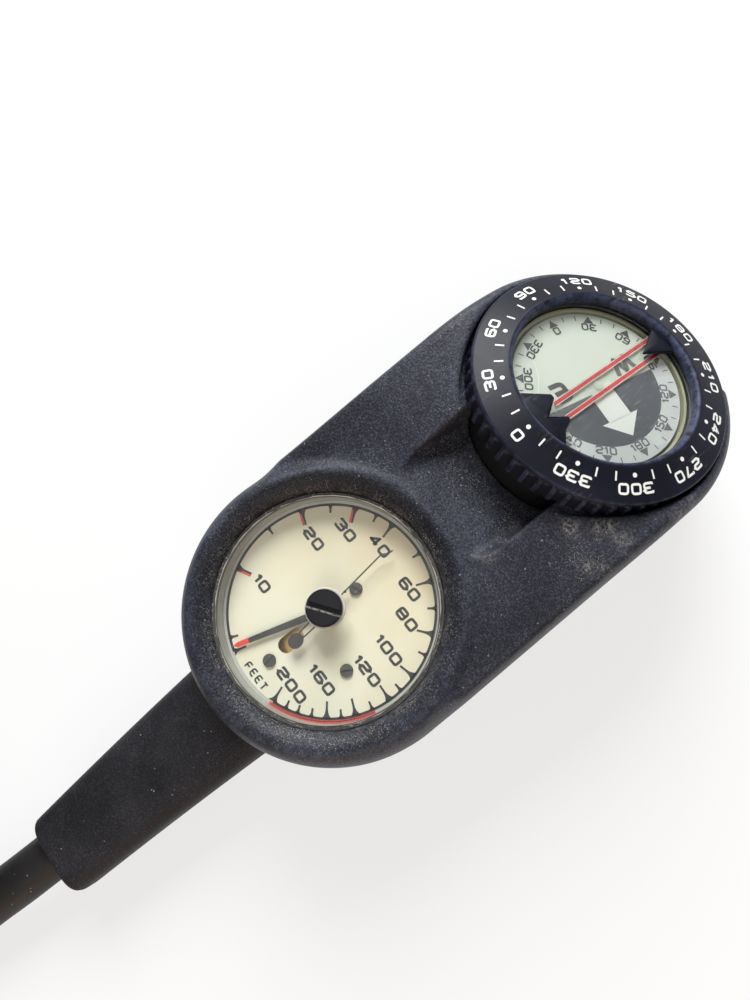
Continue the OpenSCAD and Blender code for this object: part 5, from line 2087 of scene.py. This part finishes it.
@dataclass
class PressureGauge:
    """The pressure dial's print, on the back.

    Attributes:
        start: the bearing of 0, in degrees clockwise from +Y.
        sweep: how far the scale turns.
        top: its last value in psi.
        reserve: the value where the red band ends.
        circle: the two radii of the scale's circle.
        band: the two radii of the red band.
        inner: where the ticks of each 1000, 500 and 100 start.
        number_r: the radius of the numbers, and of the 0.
        unit_y: where the unit stands.
    """

    start: float = 225.0
    sweep: float = 270.0
    top: int = 4000
    reserve: int = 500
    circle: Flat = (22.25, 22.55)
    band: Flat = (20.9, 22.1)
    inner: Point = (18.8, 19.9, 21.0)
    number_r: Flat = (15.2, 16.2)
    unit_y: float = -9.5

    def angle(self, value: float) -> float:
        """A value's angle in degrees, anticlockwise from +X."""
        return 90 - self.start - self.sweep * value / self.top

    def build(self) -> None:
        """Prints ticks every 100, numbers every 1000 and the red reserve band."""
        ink = Print(PRESSURE)
        ink.arc(*self.circle, self.angle(0), self.angle(self.top))
        ink.arc(*self.band, self.angle(0), self.angle(self.reserve), finish=1)
        outer = sum(self.circle) / 2
        for value in range(0, self.top + 1, 100):
            half, whole = value % 500 == 0, value % 1000 == 0
            inner = self.inner[2 - half - whole]
            ink.tick((inner, outer), self.angle(value), 0.42 if half else 0.26, 0.3)
        digits = Lettering(1.55, 1.85, 0.52, 0.36)
        for value in range(0, self.top + 1, 1000):
            at = polar(self.number_r[value == 0], math.radians(self.angle(value)))
            ink.word(digits, str(value), at)
        ink.word(Lettering(1.5, 1.9, 0.42, 0.6), "PSI", (0.0, self.unit_y))
        ink.piece("pressure_scale", "console", [MARK_BLACK, MARK_RED], "dial_cream")


# ---- compass ----


@dataclass
class Bezel:
    """The turning bezel, its sights and its markings.

    Attributes:
        radius: its outer radius.
        open_r: the radius of its opening.
        bore_r: the radius of its bore, below.
        turned: how far it is turned at rest, in degrees.
        flutes: the number of finger flutes.
        flute_r: the radius of a flute's circle.
        flute_out: how far outside the grip that circle's middle stands.
        grip_z: the height below which the grip is.
        face_in: how far outside the opening the sloping face starts.
        face_z: the face's height there.
        face_fall: how far it falls to its outer edge, 0.3 inside the radius.
        digit_r: the radius of the numbers.
        tick_ends: the two radii of a tick.
        dot_r: the radius at which a dot stands, and its own.
        bevel: how far a sight's outline is drawn in at each height.
        notch: the outline of the sight that the bearing is read at.
        pointer: the outline of the sight across from it.
    """

    radius: float = 27.5
    open_r: float = 19.3
    bore_r: float = 21.6
    turned: float = -1.2
    flutes: int = 54
    flute_r: float = 1.55
    flute_out: float = 0.9
    grip_z: float = -4.0
    face_in: float = 1.6
    face_z: float = 0.35
    face_fall: float = 2.05
    digit_r: float = 24.75
    tick_ends: Flat = (21.6, 23.35)
    dot_r: Flat = (22.2, 0.46)
    bevel: tuple[Flat, ...] = ((0.0, -1.9), (0.0, -1.25), (0.12, -1.05), (0.3, -0.98))
    notch: tuple[Flat, ...] = (
        (-6.4, -18.95), (-3.0, -19.77), (3.0, -19.77), (6.4, -18.95), (6.9, -17.7), (4.4, -15.3),
        (3.3, -12.8), (2.5, -12.6), (0, -17.9), (-2.3, -12.2), (-3.3, -12.2), (-6.9, -17.7),
    )
    pointer: tuple[Flat, ...] = (
        (0, 12.9), (3.3, 18.95), (2.6, 19.8), (-2.6, 19.8), (-3.3, 18.95),
    )

    def profile(self) -> Array:
        """The section: the lip, the face, the edge, the groove, the grip and the bore.

        Returns:
            Points by 2, radius and height.
        """
        r, o, b = self.radius, self.open_r, self.bore_r
        line = np.array([
            [o, -1.9], [o, -0.8], [o + 0.35, 0.1], [o + 1.0, 0.5], [o + self.face_in, self.face_z],
            [r - 0.3, -1.7], [r, -2.0], [r, -3.0], [r - 0.9, -3.6], [r - 0.9, -4.4],
            [r - 0.3, -4.9], [r - 0.3, -8.5], [r - 0.8, -9.0], [b, -9.0], [b, -7.75],
            [b + 0.5, -7.75], [b + 0.5, -6.75], [b, -6.75], [b, -1.9],
        ])
        return rounded(line[::-1], 0.35, closed=True)

    def ring(self) -> None:
        """The profile turned about the axis, with a scallop cut at each flute.

        A flute lowers the radius where the grip is, by the depth of its circle
        there. The edge is worn, the lip is worn and carries a painted sheen, and the
        ridge on each side of a flute carries painted glints.
        """
        section = self.profile()
        r, z = section[:, 0], section[:, 1]
        share = np.arange(self.flutes * 10) / 10
        across = ((share + 0.5) % 1 - 0.5) * math.tau * self.radius / self.flutes
        bite = np.sqrt(np.clip(self.flute_r**2 - across**2, 0, None)) - self.flute_out
        grip = ((r > self.radius - 1.2) & (z < self.grip_z))[:, None]
        grid = revolve(section, len(share))
        grid[..., :2] *= (1 - np.clip(bite, 0, None) * grip / r[:, None])[..., None]
        # Wear on the lip and edge, with a painted sheen on the lip and painted glints on the
        # flutes' ridges.
        lip = 1.6 * bell(r - self.open_r - 0.5, 0.5) * (z > -1.2)
        edge = 0.5 * bell(r - self.radius, 0.3) * (z > -3.2)
        ridge = 1.1 * grip * bell(np.abs(across) - 1.35, 0.22)
        shape = Shape(COMPASS).grid(turn(grid, math.radians(self.turned)), around=True, closed=True)
        made = shape.piece(
            "bezel_ring", "bezel", [BEZEL_PLASTIC], "bezel_plastic", smooth=40, weld=False,
            marks={"wear": (lip + edge)[:, None] + ridge},
        )
        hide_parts("compass_bezel")

    def sight(self, name: str, outline: Sequence[Flat]) -> None:
        """A tooth of the sight as a bevelled plate: rings of its outline, drawn in at the top.

        Args:
            name: the piece's name.
            outline: its corners in the compass frame, anticlockwise.
        """
        line = rounded(np.array(outline, float), 0.25, 4, closed=True)
        middle = line.mean(axis=0)
        spread = np.linalg.norm(line - middle, axis=1, keepdims=True)
        rings = [lift(middle + (line - middle) * (1 - d / spread), z) for d, z in self.bevel]
        rings = turn(np.stack(rings), math.radians(self.turned))
        shape = Shape(COMPASS).grid(rings, around=True).disc(rings[-1]).disc(rings[0], flip=True)
        shape.piece(name, "bezel", [BEZEL_PLASTIC], "bezel_plastic", smooth=40)

    def marks(self) -> None:
        """Numbers each 30 degrees with a dot, and ticks each 10 degrees, on the sloping face."""
        width, stroke, gap = 1.75, 0.46, 0.42
        face_r = self.open_r + self.face_in
        ink = Print(COMPASS, self.face_z, self.face_fall / (self.radius - 0.3 - face_r), face_r)
        digits = Lettering(width, 1.72, stroke, gap)
        apart = (width + stroke + gap) / 24.7
        for mark in range(0, 360, 10):
            a = math.radians(-90 - mark + self.turned)
            if mark % 30:
                ink.tick(self.tick_ends, math.degrees(a), 0.36)
                continue
            ink.dot(polar(self.dot_r[0], a), self.dot_r[1])
            text = str(mark)
            for i, c in enumerate(text):
                b = a - (i - (len(text) - 1) / 2) * apart
                ink.word(digits, c, polar(self.digit_r, b), b - math.pi / 2)
        ink.piece("bezel_marks", "bezel", [MARK_WHITE], "bezel_plastic")

    def build(self) -> None:
        """Makes the ring, both sights and the markings."""
        self.ring()
        self.sight("bezel_notch", self.notch)
        self.sight("bezel_pointer", self.pointer)
        self.marks()


@dataclass
class Card:
    """The compass card's print, in the card's own turn.

    Attributes:
        turned: the angle of the mark 180, anticlockwise from +X in degrees.
        top_z: the height of the card's face.
        half_x: how far from the middle the dark half starts.
        half_r: the radius of the dark half.
        radius: the radius of the ring round it.
        shaft: the arrow's shaft: its two ends and half of its width at each.
        head: the same of its head.
        wedge: the same of the mark beside each number.
        tick_ends: the two radii of a tick.
        digit_r: the radius of the numbers.
        letters: each cardinal letter, how far it stands to the side, and its width.
    """

    turned: float = -9.0
    top_z: float = -4.3
    half_x: float = 1.3
    half_r: float = 14.1
    radius: float = 18.25
    shaft: tuple[Flat, Flat] = ((0.2, 8.3), (2.9, 2.9))
    head: tuple[Flat, Flat] = ((8.1, 12.6), (4.7, 0.02))
    wedge: tuple[Flat, Flat] = ((16.0, 17.7), (1.15, 0.03))
    tick_ends: Flat = (16.5, 17.7)
    digit_r: float = 14.95
    letters: tuple[tuple[str, float, float], ...] = (("W", 8.6, 5.0), ("E", -8.6, 3.2))

    def build(self) -> None:
        """Prints the dark half, its ring, the arrow, the numbers and the letters.

        The dark half is all of the disc past a line: at each radius it spans
        the angle whose cosine is the line's distance over the radius.
        """
        black, dark, silver, pale, grey = range(5)
        turned = math.radians(self.turned)
        ink = Print(COMPASS, self.top_z)
        spans = ((self.half_x + 0.05, self.half_r, dark), (self.half_r, self.radius, silver))
        for r0, r1, finish in spans:
            r = np.linspace(r0, r1, 24)
            a = turned + np.arccos(self.half_x / r) * np.linspace(-1, 1, 91)[:, None]
            ink.band(polar(r, a), finish)
        ink.layer = 0.02
        for part in (self.shaft, self.head):
            ink.wedge(*part, turned, pale)
        ink.layer = 0.03
        digits = Lettering(1.2, 1.5, 0.38, 0.26)
        for mark in range(0, 360, 10):
            a = turned + math.pi - math.radians(mark)
            kind = grey if math.cos(a - turned) > 0.05 else black
            if mark % 30:
                ink.tick(self.tick_ends, math.degrees(a), 0.22, finish=kind)
                continue
            ink.wedge(*self.wedge, a, kind)
            ink.word(digits, str(mark), polar(self.digit_r, a), a + math.pi / 2, kind)
        for text, side, wide in self.letters:
            at = turn(np.array([-1.9, side]), turned)
            ink.word(Lettering(wide, 3.8, 1.1, 0.3), text, at, turned - math.pi / 2)
        inks = [MARK_BLACK, CARD_DARK, CARD_SILVER, ARROW_PALE, CARD_GREY]
        ink.piece("card_marks", "card", inks, "card_lume")


@dataclass
class Cracks:
    """Hairline cracks inside the compass window.

    Attributes:
        lines: each crack as a broken line.
        width: how wide it is.
        depth: its height in the compass frame.
    """

    lines: tuple[tuple[Flat, ...], ...] = (
        ((-13.2, -8.2), (-10.6, -9.0), (-8.0, -10.6), (-5.8, -12.8), (-4.3, -14.6)),
        ((0.6, -14.2), (3.4, -14.0), (6.2, -14.6), (9.0, -15.6)),
    )
    width: float = 0.09
    depth: float = -2.8

    def build(self) -> None:
        """Lays each crack as a thin band."""
        ink = Print(COMPASS, self.depth)
        for line in self.lines:
            ink.band(ribbon(rounded(np.array(line, float), 1.5), self.width))
        ink.piece("window_cracks", "console", [CRACK], "lens")


def main() -> None:
    """Builds the scene: the camera and the hose first, then each sub-assembly."""
    logging.basicConfig(level=logging.INFO, format="%(name)s %(message)s")
    parts = (Studio, Hose, Fittings, Boot, DepthGauge, PressureGauge, Bezel, Card, Cracks)
    for part in parts:
        LOG.info("building %s", part.__name__)
        part().build()


if __name__ == "__main__":
    main()
